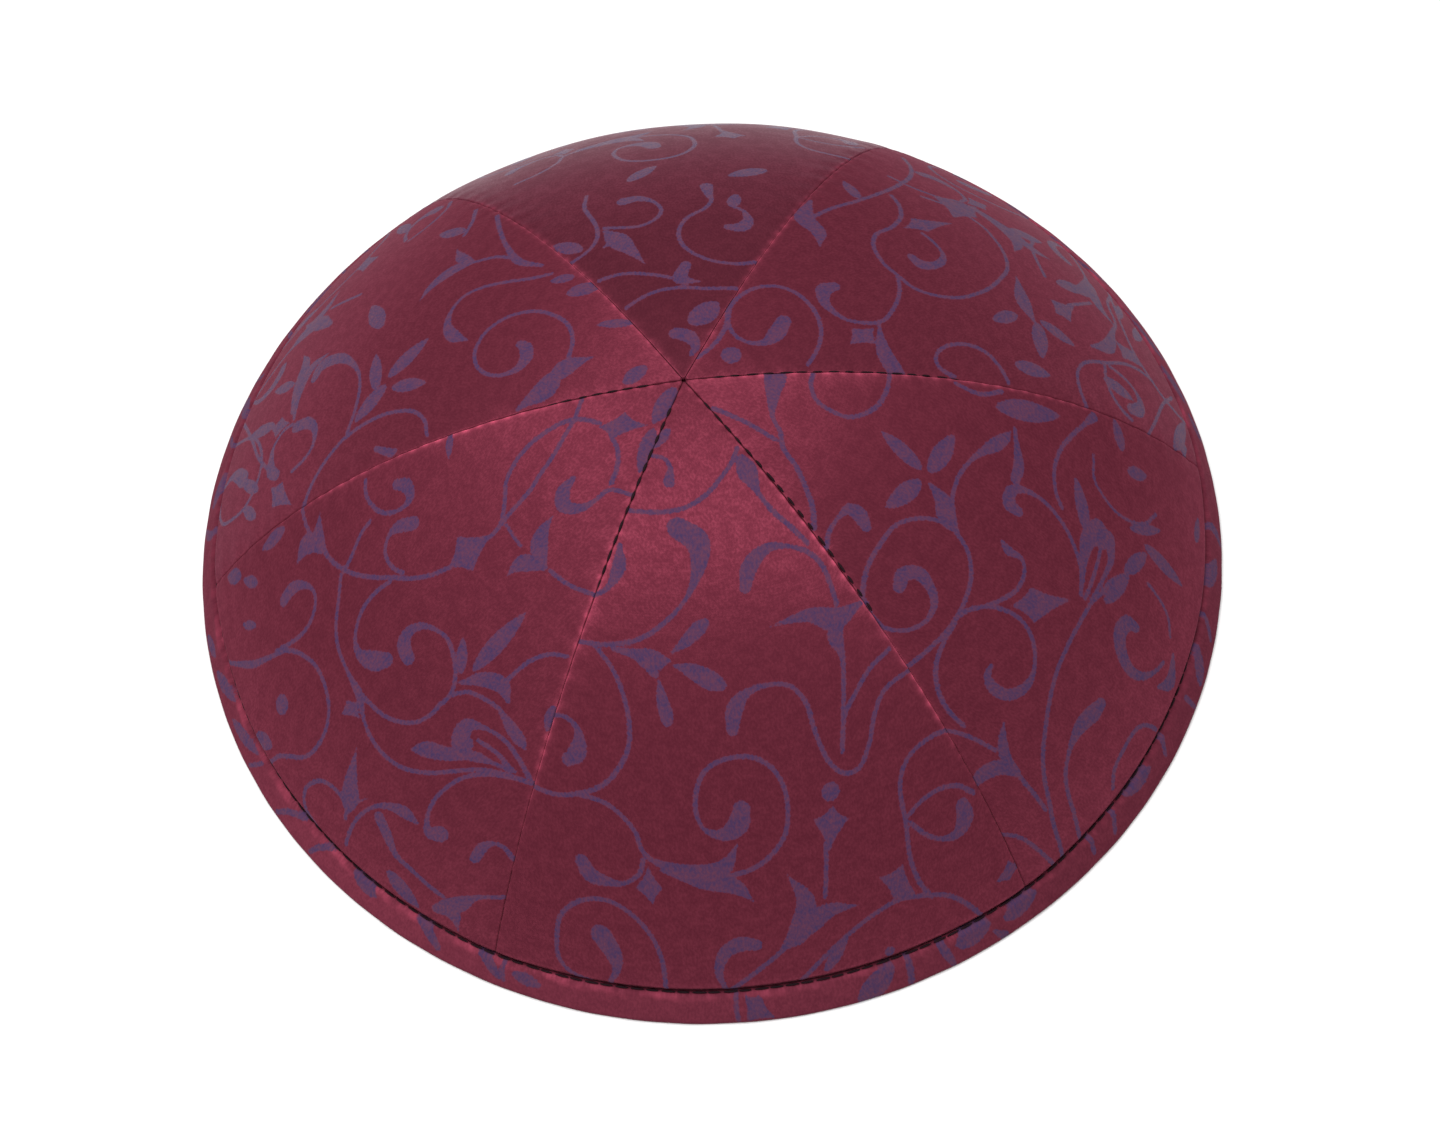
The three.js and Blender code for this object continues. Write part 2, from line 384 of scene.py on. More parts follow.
frontScroll = {
    "vines": [
        [(-4.9, 17.8, 0.9), (-4.3, 15.5), (-5, 13.9), (-7, 13.4)],
        [(-11.5, 22.7), (-7, 22.7), (-3, 22), (0.5, 20.2), (3, 18), (5, 16), (6.3, 13.8)],
        [(6.6, 15.9, 0.9), (7.2, 17.8, 1.5), (7.9, 20, 0.9), (8.4, 21.8), (10, 25), (12.5, 28.5),
         (14.5, 31.5)],
        [(-4.5, 25.3, 1.8), (-2, 27.5, 1.9), (-2.3, 31, 1.2), (-4.5, 35.5), (-8.5, 39.5), (-13, 42.3),
         (-18, 43.5), (-22, 43.6)],
        [(-13.7, 28.3), (-14.3, 31.5, 1), (-16.5, 35), (-19, 36.5)],
        [(4.2, 35.5, 0.9), (5.3, 32.5, 1.3), (8, 30.5, 0.9), (11, 30.8), (14, 32.5), (16, 35), (17, 38.5),
         (17.5, 41.5)],
        [(21, 42.8, 0.5), (17, 43.6, 1.6), (13, 41.8, 1), (7, 41.9, 0.1)],
        [(18.5, 43), (16.6, 45.5, 1.3), (17.2, 49, 0.5), (16.8, 53), (16, 58), (15.2, 62.5)],
        [(-17, 44), (-13.6, 44.6, 0.9), (-11.5, 45.3, 1.7), (-8.8, 45.3, 0.3)],
        [(-8.3, 44.2, 0.2), (-5.8, 42.4, 0.9), (-3.6, 40.6, 1.1), (-2.7, 39.9, 0.7)],
        [(-8.3, 46, 0.2), (-5.6, 47, 1.2), (-2.9, 48.6, 1.5), (-1.6, 49.3, 0.9)],
        [(-10.8, 48.2, 0.2), (-10.7, 50.6, 0.8), (-10.4, 53.2, 1.1), (-10.4, 54.3, 0.8)],
        [(-20, 43.5), (-17.8, 46.5), (-16.6, 50), (-16.1, 54), (-16.6, 58), (-18.5, 61.5), (-21.5, 64.5),
         (-25.5, 66.3), (-29, 67), (-33, 66.5)],
        [(-26.3, 61.5, 0.9), (-24.5, 60, 1.3), (-24, 57, 0.6), (-25.5, 55.2), (-28, 55.5), (-30, 57.8, 0.8)],
        [(-25, 66.3), (-21.5, 67), (-19, 68.7), (-17.3, 71), (-16.6, 73.7), (-14.5, 75.7)],
        [(-15.5, 75), (-10, 77, 1.4), (-5, 76.5, 1.3), (-2.2, 72.8, 0.1)],
        [(-14, 76.5), (-8, 78.3, 1.2), (-3.5, 79.3, 1.2), (-0.8, 82, 0.1)],
        [(-26, 76.5, 1.1), (-25, 78.3, 1.3), (-22.5, 79, 0.8), (-20, 79), (-17.5, 77.3), (-16.6, 75)],
        [(-4, 77.7), (0, 76.7), (3, 74.8), (5.2, 72), (5.9, 68), (5.6, 65), (4, 62), (1, 60.2), (-3, 60.3),
         (-6, 62), (-7.5, 65), (-7.8, 68), (-6.8, 70.5), (-4, 71.3, 1), (-1.8, 70, 1.6), (-1, 67.8, 1.3)],
        [(-0.8, 56, 0.95), (0, 53, 1.3), (2, 51, 0.7), (5, 50.3), (8.5, 51), (10.7, 54), (11.5, 58.5),
         (12.8, 63), (15, 65.6), (17.5, 65.5), (19.5, 62.5), (21, 58.5), (23.3, 55.8), (28, 54.7)],
        [(24.5, 50.7), (21, 52.3), (18.5, 54.8), (16.3, 57.5), (15.4, 61)],
        [(10.9, 75), (10.3, 80), (9.8, 83)],
        [(2.5, 90), (5.5, 87.5, 1.8), (6.8, 83, 1.4), (4.5, 78.5, 0.1)],
        [(3, 89.7), (7, 86.8, 1.6), (10.5, 85.3, 1.1), (14.8, 85.8, 0.1)],
        [(-6, 96), (-3, 94), (1, 91.3), (3.5, 89.5)],
        [(-1.3, 88.8, 0.9), (-3.5, 88.4, 1.2), (-6, 89.6, 1), (-7.3, 92.5, 0.7), (-6.8, 95), (-5.8, 97)],
        [(-15.5, 95.5), (-15.6, 91), (-16.8, 87), (-19.5, 83.7), (-23, 82), (-27, 82.7), (-30.3, 85.5),
         (-31.5, 89), (-31.7, 93), (-30, 95), (-27, 96)],
        [(-24.4, 87.8, 1.7), (-23, 90.5, 1.4), (-22.7, 93, 0.7), (-24, 95.5)],
        [(5, 95.5), (9, 92.3), (13, 89.7), (17, 87.9), (21, 87.1), (25, 88), (29, 89.8), (32, 92.7),
         (34, 95.5)],
        [(26.3, 88.7), (24.5, 85.5), (23.5, 81), (23.5, 76), (23.2, 72), (23.6, 69), (25.5, 66.5),
         (29, 65.4), (32, 65.7)],
        [(24, 75), (26.5, 73.7), (29.5, 73.3), (32.5, 74.2), (35, 76.5)],
        [(32.8, 77.3, 1.1), (33, 79.5, 1.5), (31.5, 81, 0.9), (29, 80.7), (26.5, 79), (24.3, 76.3)],
    ],
    "leaves": [
        ((-3.4, 8.8), (-7, 12.5), 0.8),
        ((-12.3, 45.2), (-11, 47.9), 0.9),
        ((8.5, 95), (12.5, 90.2), 0.9),
    ],
    "darts": [
        [(-16, 76), (-18.4, 79.5), (-16, 82), (-14.2, 79.3)],
        [(9.4, 71.2), (12.7, 69.8), (14.8, 72.3), (11.2, 76.5)],
        [(18.3, 82.5), (22.2, 81.8), (24, 87.8), (20.2, 86.6)],
        [(36.8, 91.8), (39.7, 89.6), (42, 91.4), (39.5, 92.8)],
    ],
    "dots": [(12.6, 67.7, 1.4), (18.7, 94.7, 0.8)],
}

leftFrontScroll = {
    "vines": [
        [(-2.5, 15.3), (-4.5, 16.8), (-5.9, 18.5), (-7, 21), (-7.5, 24), (-7.6, 27), (-7, 30), (-5.6, 32.8),
         (-3, 35), (-0.8, 37.5), (-0.4, 40)],
        [(-8.3, 15.5), (-6, 18.3), (-4.8, 21), (-3.3, 24.5), (-2.3, 28), (-1.4, 31), (-1, 35), (-0.6, 37.5)],
        [(0.5, 15.2), (3, 16), (5.2, 18), (6.8, 20.8)],
        [(2, 24.3, 0.5), (2.6, 26.8, 1.1), (4.5, 28.3, 1.2), (6.6, 27, 0.8), (7.3, 24.5), (7.3, 22),
         (8.6, 21), (10.3, 20.3)],
        [(10, 37.4), (7, 35.8, 1.4), (5.3, 33.5, 1), (4.6, 30.8, 0.1)],
        [(10, 37.6), (7.2, 38.8, 1.5), (6.4, 40.5, 0.8), (6.5, 42.2, 0.1)],
        [(19, 36.2), (15, 37.2), (11, 37.3)],
        [(0, 37, 0.3), (4.5, 37.5, 0.3)],
        [(-20, 49.3, 0.8), (-18.3, 47.7, 1.1), (-16.2, 47.9, 0.8), (-16, 50), (-17.3, 52.5), (-19.8, 54.3),
         (-23, 55), (-25.3, 54.3)],
        [(-12.3, 49.3, 1.1), (-14, 51.8, 1), (-14.3, 54), (-12.5, 56), (-9.5, 56), (-7.5, 55)],
        [(-1.9, 48.2), (-3.5, 51.5), (-6, 54.7), (-8.5, 57), (-11.5, 60), (-15, 62.8), (-19, 65), (-22, 66)],
        [(-22, 65.8), (-25, 66.5, 1.5), (-28.5, 64.5, 0.1)],
        [(-23.5, 67), (-26.5, 69, 1.7), (-25.5, 72.3, 0.1)],
        [(-25, 67.3), (-29, 68), (-32.5, 68.2)],
        [(-19, 56), (-18.7, 58.5), (-17.3, 61.5), (-16.5, 64)],
        [(-16.5, 64.8), (-14, 67), (-11, 70), (-8, 71.7), (-4, 72.6), (0, 73.3, 0.8), (3, 75.2), (6, 76.5),
         (10, 77), (14, 76.3), (18, 74), (21, 71.3), (24, 68.8), (27.5, 67.2), (32, 66.2)],
        [(12.3, 64), (12.2, 66.5), (11, 69.2), (8.5, 71.2), (5.5, 72.4), (2.5, 72.8), (-1, 73)],
        [(0.3, 65.8, 1.2), (-1.5, 67.7, 1.6), (-4.5, 69, 0.8), (-7, 67.8), (-8.9, 64.5), (-9.1, 61),
         (-8.3, 57.5)],
        [(3, 62.8, 1.2), (1, 62, 1.3), (0.2, 60, 0.9), (1.2, 57.8, 0.6), (3.5, 56.4), (6, 56), (8.5, 57),
         (11, 59), (12.5, 61.5), (12.6, 64)],
        [(12.8, 59.5), (15, 57, 1.2), (18, 55.8, 1.3), (20.7, 57.3, 0.3)],
        [(13, 61.8), (14.5, 60), (17, 59.2), (20, 59), (21, 59.3), (23.5, 60.3, 0.9), (26, 61.3, 0.9),
         (27.7, 62.2, 0.1)],
        [(22.5, 46.5), (20.5, 47.5), (19, 49.8), (18.5, 52), (18.2, 55)],
        [(31, 65.7), (27.5, 63.8), (24, 62.6), (20.5, 62.8), (18, 64.2, 1.2), (18.5, 66.5, 1.5),
         (20, 68, 1.5)],
        [(28, 66), (24.5, 65), (21, 65)],
        [(28.5, 66), (25, 66.7), (22, 67.5, 0.9), (19.5, 69)],
        [(21.5, 68.3), (18, 70, 1.2), (15, 71.5, 1.3), (13.3, 73, 0.3)],
        [(25, 81.5, 1.4), (23.3, 82.3, 0.9), (21.8, 80.5), (21.1, 77.5), (21.6, 74), (23, 71), (25.5, 68.7),
         (29, 67), (32, 66.3)],
        [(5.2, 79.8, 0.1), (7.5, 84.5, 1.3), (9, 87, 1.8), (9.8, 89, 0.6)],
        [(9.5, 88), (11.7, 84.7, 0.1)],
        [(10.2, 90.5), (9, 88.5), (6, 88), (3, 89), (1.3, 91.5), (1.3, 93.5), (3, 95.3), (6, 96.3, 0.8)],
        [(21, 82.3, 0.3), (18.5, 82.1, 1), (16, 82.8, 0.7), (13.5, 84.8), (12.1, 88), (11.9, 91),
         (12.5, 94)],
        [(15, 85.7, 0.9), (17.8, 87.3, 0.9), (20.8, 89.2, 0.5), (24.5, 89.8), (28.5, 90.5), (31, 90.8)],
        [(31, 92), (33.5, 90.7, 1.5), (35.5, 87.8, 0.5), (39, 85.6, 0.4)],
        [(31, 93.2, 0.9), (33.5, 92.5, 1.2), (35.8, 95, 0.1)],
        [(31.8, 81.8, 0.9), (31.8, 79.5, 0.9), (32.8, 78), (34.5, 77.8), (37, 79)],
        [(-23.3, 77.3, 1.1), (-23.2, 75, 1.1), (-22, 72.8, 0.7), (-19.8, 71), (-17.5, 71.2), (-15.9, 73.5),
         (-15.8, 76.5), (-16.8, 79.5), (-18, 82)],
        [(-18.5, 83), (-16.5, 80.7), (-14, 78.7), (-10.5, 77.2), (-7, 77.3), (-3.5, 79), (-1.5, 82),
         (-1.1, 85.5), (-2, 88.7), (-4.5, 91.2), (-6.5, 93.2), (-7.5, 95.5)],
        [(-16.5, 80.5), (-18.5, 84), (-21, 88.5, 0.6), (-23, 91, 0.6), (-26, 94.2), (-28.7, 97)],
    ],
    "leaves": [
        ((0.3, 2), (3.2, 9), 1.4),
        ((3.8, 9.5), (8.3, 16.8), 1.1),
        ((-19.5, 37.5), (-16, 39.3), 0.7),
        ((11.8, 58.5), (8, 54), 0.9),
        ((13, 57), (13, 44.5), 1.4),
        ((26.3, 54), (28.3, 58), 0.8),
        ((20.8, 92.5), (28.5, 95), 1.2),
        ((-12.8, 95.5), (-8.8, 93.5), 1.3),
        ((-33, 73), (-35, 79.5), 1.3),
        ((-31, 82.3), (-35, 86), 0.9),
        ((-25.7, 85.5), (-29, 89), 0.7),
        ((-36, 86.5), (-40, 91), 1.2),
    ],
    "darts": [
        [(-2.2, 15.9), (-1.4, 11), (2.9, 9.7), (0.9, 15.5)],
        [(-0.5, 39.5), (-4.8, 44.3), (-2, 48.4), (1.6, 45.8)],
        [(0.9, 74), (-1.3, 75.7), (-0.6, 78.2), (2.6, 75.9)],
    ],
    "dots": [(19.5, 67, 1.6), (-11.4, 87, 1.6)],
}

rightFrontScroll = {
    "vines": [
        [(-3, 6.5), (-3.2, 10), (-3.5, 13), (-4.2, 17)],
        [(6.5, 13.2, 1.8), (3.5, 13.5, 1.2), (-0.5, 14.8), (-2.5, 17), (-5, 18.8), (-7, 22), (-9.5, 25),
         (-12, 27.7), (-15, 30)],
        [(9.5, 18.8), (7.5, 18.7), (5.3, 20), (4.6, 22.5), (4.9, 25.5), (6.8, 27.8), (9.5, 29.5), (13, 30.3),
         (16, 30.3)],
        [(-11, 35.8, 0.8), (-9.7, 34, 1.2), (-9.5, 32.3, 1), (-11.5, 31.7), (-14.5, 32), (-17, 33.3)],
        [(1, 41), (-0.5, 44, 1.5), (-2.5, 45.5, 1.6), (-3.8, 48)],
        [(-22, 42.7), (-19.5, 41), (-16, 39.5), (-12, 39), (-8.5, 39.2), (-6, 40.8), (-4.2, 43.3),
         (-3.5, 46)],
        [(-3.8, 47.5), (-5, 50), (-7, 52), (-10, 53.6), (-14, 54.6), (-18, 55), (-22, 54.8), (-27, 54.3)],
        [(-17, 45.3, 0.9), (-14.8, 44.5, 1.2), (-13.3, 46.2, 1.2), (-14.2, 48.8, 0.8), (-16, 50.8, 0.6),
         (-19, 51.6), (-22, 50.5), (-23.6, 48), (-23, 45), (-21.5, 42.7)],
        [(-1, 45.7), (1.5, 44.8), (5, 44.6), (8.5, 45.6), (11, 47, 0.6), (13.5, 48.8, 1.1), (16, 50.5, 0.8),
         (17.5, 51, 0.1)],
        [(10.2, 53.5, 0.9), (13, 53.5, 1), (16.5, 52.3, 0.5), (18.5, 51.8)],
        [(5.5, 55.5, 0.9), (5.7, 53.7, 1.2), (7.8, 53.4, 1), (9.3, 55, 0.6), (9.9, 58), (9.5, 61), (8, 64.5),
         (5.5, 67.5), (2.5, 70)],
        [(-29.7, 67), (-29.3, 64), (-28.3, 61.5), (-26.5, 59), (-24, 57), (-20.5, 55.7), (-17, 55.2)],
        [(-19.3, 63.8), (-21, 64.3, 0.6), (-22, 66.5, 1), (-21.3, 69, 1), (-18.5, 70.3, 0.8), (-15.5, 69.7),
         (-12.3, 67.5), (-10.4, 64.5), (-10.2, 61.5), (-11.3, 58.3), (-13.5, 55.9), (-16, 55)],
        [(-0.8, 55), (-1.5, 56.5, 0.8), (-1.2, 58.8), (-3, 60.3), (-6, 60.5), (-9, 59.3), (-12, 57.3),
         (-14.8, 55)],
        [(-30, 79), (-29.5, 75.5, 0.9), (-27.5, 73, 0.7), (-25.2, 71.2, 0.1)],
        [(-30.3, 79.5), (-31.5, 76, 1.3), (-34, 75, 1.2), (-36.5, 75.8, 0.3)],
        [(-32, 65.5), (-31, 67.5), (-30.2, 70.5), (-29.7, 73.5)],
        [(-30.5, 80), (-31, 84), (-31.5, 87)],
        [(-35.4, 97), (-34, 94), (-32.3, 90), (-30.5, 87), (-28, 83), (-25, 79.7), (-21, 76.8), (-17, 74.5),
         (-13, 73), (-8, 72.3), (-4, 72.4), (0, 72.8), (3, 74), (6, 75), (9, 77.5)],
        [(-12.3, 82.8, 1), (-14.5, 82.5, 1.5), (-17, 82, 1.3), (-19.5, 82.3, 0.8), (-22, 83.2), (-25, 85.2),
         (-27, 88), (-28.7, 91.5), (-30.2, 94.5), (-31.2, 97)],
        [(-21, 94), (-18.5, 92), (-14.5, 91.2), (-11, 91.3), (-9, 92.8), (-8.2, 95)],
        [(2.4, 82.5, 0.8), (1.8, 80.5, 1.3), (-0.5, 79.9, 1.4), (-3, 81.7, 1.2), (-4.2, 84.8, 1),
         (-3.3, 87.5, 0.7), (-1, 89.5), (1.5, 90.5)],
        [(10.5, 82, 0.3), (9.8, 85.5, 0.3), (8.5, 88.3, 0.3), (6, 90, 0.3)],
        [(0, 70.5), (5, 69, 0.8), (9, 68.5, 1.5), (12, 70, 1.8)],
        [(0, 71.5), (5, 71.5), (9, 71.3)],
        [(0.5, 72.7), (5, 73.3), (9, 73.7, 0.7), (12, 72.3, 1.3)],
        [(24, 67, 0.3), (20, 67.5, 0.3), (18.3, 69.5, 0.3), (17.3, 72.5, 0.3), (17.8, 76, 0.3),
         (19.5, 79, 0.3), (23, 81.5, 0.3)],
        [(11, 62.5), (13, 60.7), (16.5, 59.8), (20.5, 60.5), (24.5, 62.5), (28, 64.8), (31, 67, 0.8)],
        [(20, 41), (20.5, 45), (23.5, 49)],
        [(-2.5, 91.5), (0, 93.5, 1.2), (4, 92)],
        [(-39.3, 85), (-37.8, 87), (-37.1, 90), (-36.8, 94.5), (-36.7, 97)],
    ],
    "leaves": [
        ((2.6, 38.8), (5.2, 31), 1.3),
        ((0.7, 39.3), (-6.5, 36.6), 1.5),
        ((2.8, 40), (11.2, 42), 1.5),
        ((10, 68), (17.8, 63.8), 1.3),
        ((1.8, 75), (9, 78), 1.2),
        ((9, 77), (15, 80.5), 1.3),
        ((16, 79.5), (15.5, 90), 1.2),
        ((16.5, 76), (21, 83), 0.9),
        ((20, 48), (26.3, 60), 1.7),
        ((29, 73), (34, 71.8), 1.2),
        ((26, 74.5), (28.5, 79), 1.1),
        ((25.5, 92.5), (31, 93.5), 0.8),
    ],
    "darts": [[(-9.2, 60.8), (-4.5, 62.3), (-1.7, 69.4), (-9.2, 65.6)]],
    "dots": [(11.3, 70.7, 2.1)],
}

leftBackScroll = {
    "vines": [
        [(8, 22), (4, 20, 1.6), (0.7, 16, 0.1)],
        [(4, 21), (8, 22, 1.8), (13, 26.3, 0.3)],
        [(1.2, 29.8, 0.8), (1.8, 28.4, 1.2), (3.5, 27.6, 1.2), (5.8, 28.3, 0.7), (7.6, 31), (7.6, 34),
         (6, 36.5), (3, 37.8), (-0.7, 37.3), (-3.8, 34.8), (-5.5, 31), (-5.4, 27), (-4, 23.3), (-1, 20.8),
         (3, 20)],
        [(1.6, 40.3, 0.2), (1, 43.5, 1.2), (-1, 46, 0.8), (-4.5, 47), (-7.5, 46.2), (-9.5, 43.5),
         (-10.8, 40), (-12, 36), (-13.5, 33)],
        [(-15, 36), (-15.5, 41, 0.7), (-19, 46.5), (-23, 51.5), (-27, 56)],
        [(-16, 42), (-16.3, 46), (-15, 50)],
        [(-15, 50), (-16, 53.5, 1), (-18.3, 56.7, 0.1)],
        [(-15, 50), (-13, 53.5, 1.4), (-9.5, 55.5, 0.8), (-6.5, 55.7, 0.1)],
        [(20, 42), (17.5, 43), (16, 45.5), (16, 49), (17, 53), (19, 57), (21.5, 60.5), (25, 63.5), (29, 66),
         (33, 68)],
        [(7.5, 73.5, 1), (5, 73, 1.5), (4.3, 69, 1.2), (5.5, 65, 0.7), (8, 61.5), (11.5, 59.5), (16, 59),
         (20, 59.5)],
        [(17.3, 73.5, 1.2), (17, 70.5, 1.2), (18.5, 68, 0.8), (21.5, 67.5), (24, 69), (26, 72)],
        [(23, 52, 0.6), (23.5, 49, 0.8), (23, 48)],
        [(26.5, 76), (24, 80), (21, 84), (17, 88), (13, 93), (11, 96)],
        [(-22, 58.5), (-26, 60.5), (-29.5, 63.5)],
    ],
    "leaves": [
        ((0, 6.8), (4, 9.5), 1.2),
        ((-7.3, 13.5), (-5.2, 18.8), 0.9),
        ((-12.5, 24), (-10, 27.5), 1.5),
        ((-13.5, 29), (-12, 32), 1),
        ((-23, 59.5), (-23.5, 66), 1.3),
        ((-1.3, 61.3), (-7, 68.3), 1.6),
        ((9.5, 53.7), (1.5, 48.6), 1.5),
        ((11.5, 52), (10.3, 45), 1.3),
        ((12, 55.3), (4.6, 59), 1.3),
        ((11, 53.6), (18, 58.3), 1.5),
        ((28, 81.5), (25, 88), 1.2),
        ((33, 81.5), (30.5, 86), 1.2),
        ((15.5, 81), (15.5, 90), 1.3),
        ((7.5, 80), (7, 87), 1.2),
        ((-5, 78), (-8, 90), 1.4),
        ((-28, 80), (-33, 90), 1.2),
    ],
    "darts": [[(32.3, 70.8), (27.6, 74.2), (28.2, 77.5), (32.2, 76.5)]],
    "dots": [],
}

rightBackScroll = {
    "vines": [
        [(2.2, 4.5), (2.8, 8), (4.5, 11.5), (7.5, 15)],
        [(0.7, 19.5, 1.2), (-0.8, 17, 1.4), (-1.3, 14.5, 0.7), (0, 12.3), (2.5, 11.5), (5.5, 12.8), (8, 16),
         (8.7, 20), (7.5, 23.3), (4.5, 25), (0, 25), (-4, 23.5), (-6.8, 21), (-8.3, 18.5)],
        [(2.9, 31.2, 1), (3, 29.2, 1.3), (0.3, 27.5, 0.8), (-3.5, 28.3), (-5.8, 31), (-6.7, 34), (-5, 37.5),
         (-2.5, 40.5), (0.5, 42.5)],
        [(-16.5, 31.5, 1.3), (-12, 31, 1.3), (-8, 32.5), (-6.5, 33.5)],
        [(0.5, 42.8), (-2.5, 43.5), (-5, 46), (-6.5, 49.5), (-6.8, 53), (-6, 58), (-4, 63), (-2, 66.5),
         (1, 69), (4, 70.5)],
        [(0.5, 42.8), (4, 42.5), (8, 44), (10.5, 47), (11.2, 51), (13, 55), (16, 58), (19, 59.5)],
        [(3.8, 48.5, 0.8), (1.8, 48.8, 1.2), (1, 51, 0.9), (1.7, 53.7, 0.7), (3.5, 55.3), (6, 55.7),
         (8.5, 55.5)],
        [(-20.5, 41), (-18.8, 39.3), (-17, 38.8), (-15.5, 40), (-15, 42.5), (-15.8, 46), (-18, 48.7),
         (-21, 50), (-24.5, 50.5)],
        [(-14, 63), (-9.5, 63.8, 1.6), (-4, 67, 0.2)],
        [(11.5, 36, 0.1), (14.5, 38.7, 1.2), (18.5, 40, 1.5), (22, 45, 0.3)],
        [(18, 41), (18.8, 46), (19, 51), (19.8, 57), (21, 62), (22.7, 67), (25, 72), (28.5, 77), (33, 81.5)],
        [(-20, 74, 0.3), (-20, 79, 1.5), (-16.5, 83.5, 0.6), (-14, 87), (-9, 90), (-6, 95)],
        [(-38, 80), (-34, 85), (-31, 89), (-29, 94)],
        [(4, 70.5), (9, 71.5), (14, 70), (18, 66)],
        [(-4, 75), (0, 77), (4, 80), (7, 85)],
    ],
    "leaves": [
        ((-12.2, 60), (-12.5, 54), 1.3),
        ((-21.5, 53.5), (-25, 60), 1.4),
        ((-14.5, 63.5), (-21.5, 60), 1.6),
        ((-14, 64.5), (-20, 69.5), 1.2),
        ((19.5, 52.5), (25, 55.5), 1),
        ((-26.5, 73), (-31, 79), 1.3),
        ((-5.5, 77), (-7, 84.5), 1.5),
        ((8.5, 79), (6, 86), 1.5),
        ((-40, 88), (-34, 95), 1.6),
        ((-17, 91), (-13, 98), 1.2),
    ],
    "darts": [
        [(-8.3, 26.4), (-5.7, 28.3), (-7.3, 31.8), (-10.1, 30.5)],
        [(10.5, 53), (12.5, 57), (10, 64.8), (8.6, 57)],
        [(11.5, 66.5), (18, 69), (15, 77.5), (11.5, 73)],
    ],
    "dots": [(-0.5, 8.6, 1.6)],
}

backScroll = {
    "vines": [
        [(0.6, 9.3, 1.1), (-1.5, 8.3, 1.3), (-2.3, 6.5, 0.7), (-1.5, 4.8)],
        [(-9.5, 19), (-5, 18.5), (0, 19), (4, 18.7), (8, 17.2)],
        [(-4, 20, 0.2), (-1, 21, 1.2), (-2, 24.3, 0.9)],
        [(0.5, 21.5), (4, 23.2), (8, 24.7), (12, 25)],
        [(-13, 25.5), (-10, 24.5), (-6.5, 25), (-3.5, 27), (-1.7, 30), (-1.5, 33.5), (-3, 37), (-6, 39.5),
         (-7.3, 42), (-7, 44, 0.7), (-6.8, 47, 1.1)],
        [(-9.5, 34, 0.8), (-11.5, 34, 1.2), (-12.8, 36, 0.9), (-12.3, 38.7), (-11, 39.8)],
        [(4.5, 26, 0.1), (6.5, 30, 1), (8.5, 33.5, 1.8), (10.5, 37, 0.4)],
        [(9, 33.8, 1), (11, 32.5, 0.2)],
        [(7, 45, 1.2), (4.5, 45, 0.9), (2, 43), (1, 40), (2.3, 37.5), (5, 36.3), (8, 37), (10.5, 38)],
        [(17, 31.5), (14, 32.5), (12, 35), (11.7, 38.5), (12.5, 42), (13.5, 46), (13, 50)],
    ],
    "leaves": [
        ((-2, 11), (-6.5, 15.5), 1.8),
        ((14.3, 33.6), (19, 38), 1.2),
        ((-10.5, 40), (-11.5, 44), 1.1),
        ((-17, 53.5), (-10.5, 50.5), 1.4),
        ((6, 52), (1, 57), 1.3),
    ],
    "darts": [],
    "dots": [],
}

# The gores behind are seen edge on low down: from this far down they repeat the front's scroll, turned over
hiddenStretch = {"gore_back": 56, "gore_right_back": 62, "gore_left_back": 70}

goreScrolls = {
    "gore_front": frontScroll,
    "gore_right_front": rightFrontScroll,
    "gore_right_back": rightBackScroll,
    "gore_back": backScroll,
    "gore_left_back": leftBackScroll,
    "gore_left_front": leftFrontScroll,
}


# A smooth run through charted points, as (across, down, half width) every half millimetre or so
def smoothRun(points):
    full = np.array([(*p, scrollLines["vineHalf"]) if len(p) == 2 else p for p in points], float)
    ends = np.vstack([2 * full[0] - full[1], full, 2 * full[-1] - full[-2]])
    ends[0, 2] = full[0, 2]
    ends[-1, 2] = full[-1, 2]
    run = []
    for before, start, end, after in zip(ends, ends[1:], ends[2:], ends[3:]):
        count = max(2, int(np.hypot(*(end - start)[:2]) / scrollLines["runStep"]))
        t = np.linspace(0, 1, count, endpoint=False)[:, None]
        bend = 2 * start + (end - before) * t + (2 * before - 5 * start + 4 * end - after) * t**2
        run.append((bend + (3 * start - before - 3 * end + after) * t**3) / 2)
    run.append(full[-1:])
    whole = np.vstack(run)
    whole[:, 2] = np.clip(whole[:, 2], scrollLines["pointHalf"], None)
    return whole


def leafRun(start, end, halfWidth):
    shares = np.linspace(0, 1, scrollLines["leafPoints"])
    swell = np.sin(np.pi * shares ** scrollLines["leafBelly"]) ** scrollLines["leafFullness"]
    place = np.outer(1 - shares, start) + np.outer(shares, end)
    return np.column_stack([place, halfWidth * swell + scrollLines["pointHalf"]])


# How far cloth points lie from a straight stretch, and the share of it at which they are nearest
def fromStretch(u, v, start, end):
    along = end[:2] - start[:2]
    length = max(float(along @ along), veryShort)
    share = np.clip(((u - start[0]) * along[0] + (v - start[1]) * along[1]) / length, 0, 1)
    return np.hypot(u - start[0] - along[0] * share, v - start[1] - along[1] * share), share


# How far each cloth point lies inside a run of round-ended strokes, in millimetres
def insideRun(u, v, run):
    nearest = np.full(u.shape, -farAway)
    for start, end in zip(run, run[1:]):
        away, share = fromStretch(u, v, start, end)
        nearest = np.maximum(nearest, mix(start[2], end[2], share) - away)
    return nearest


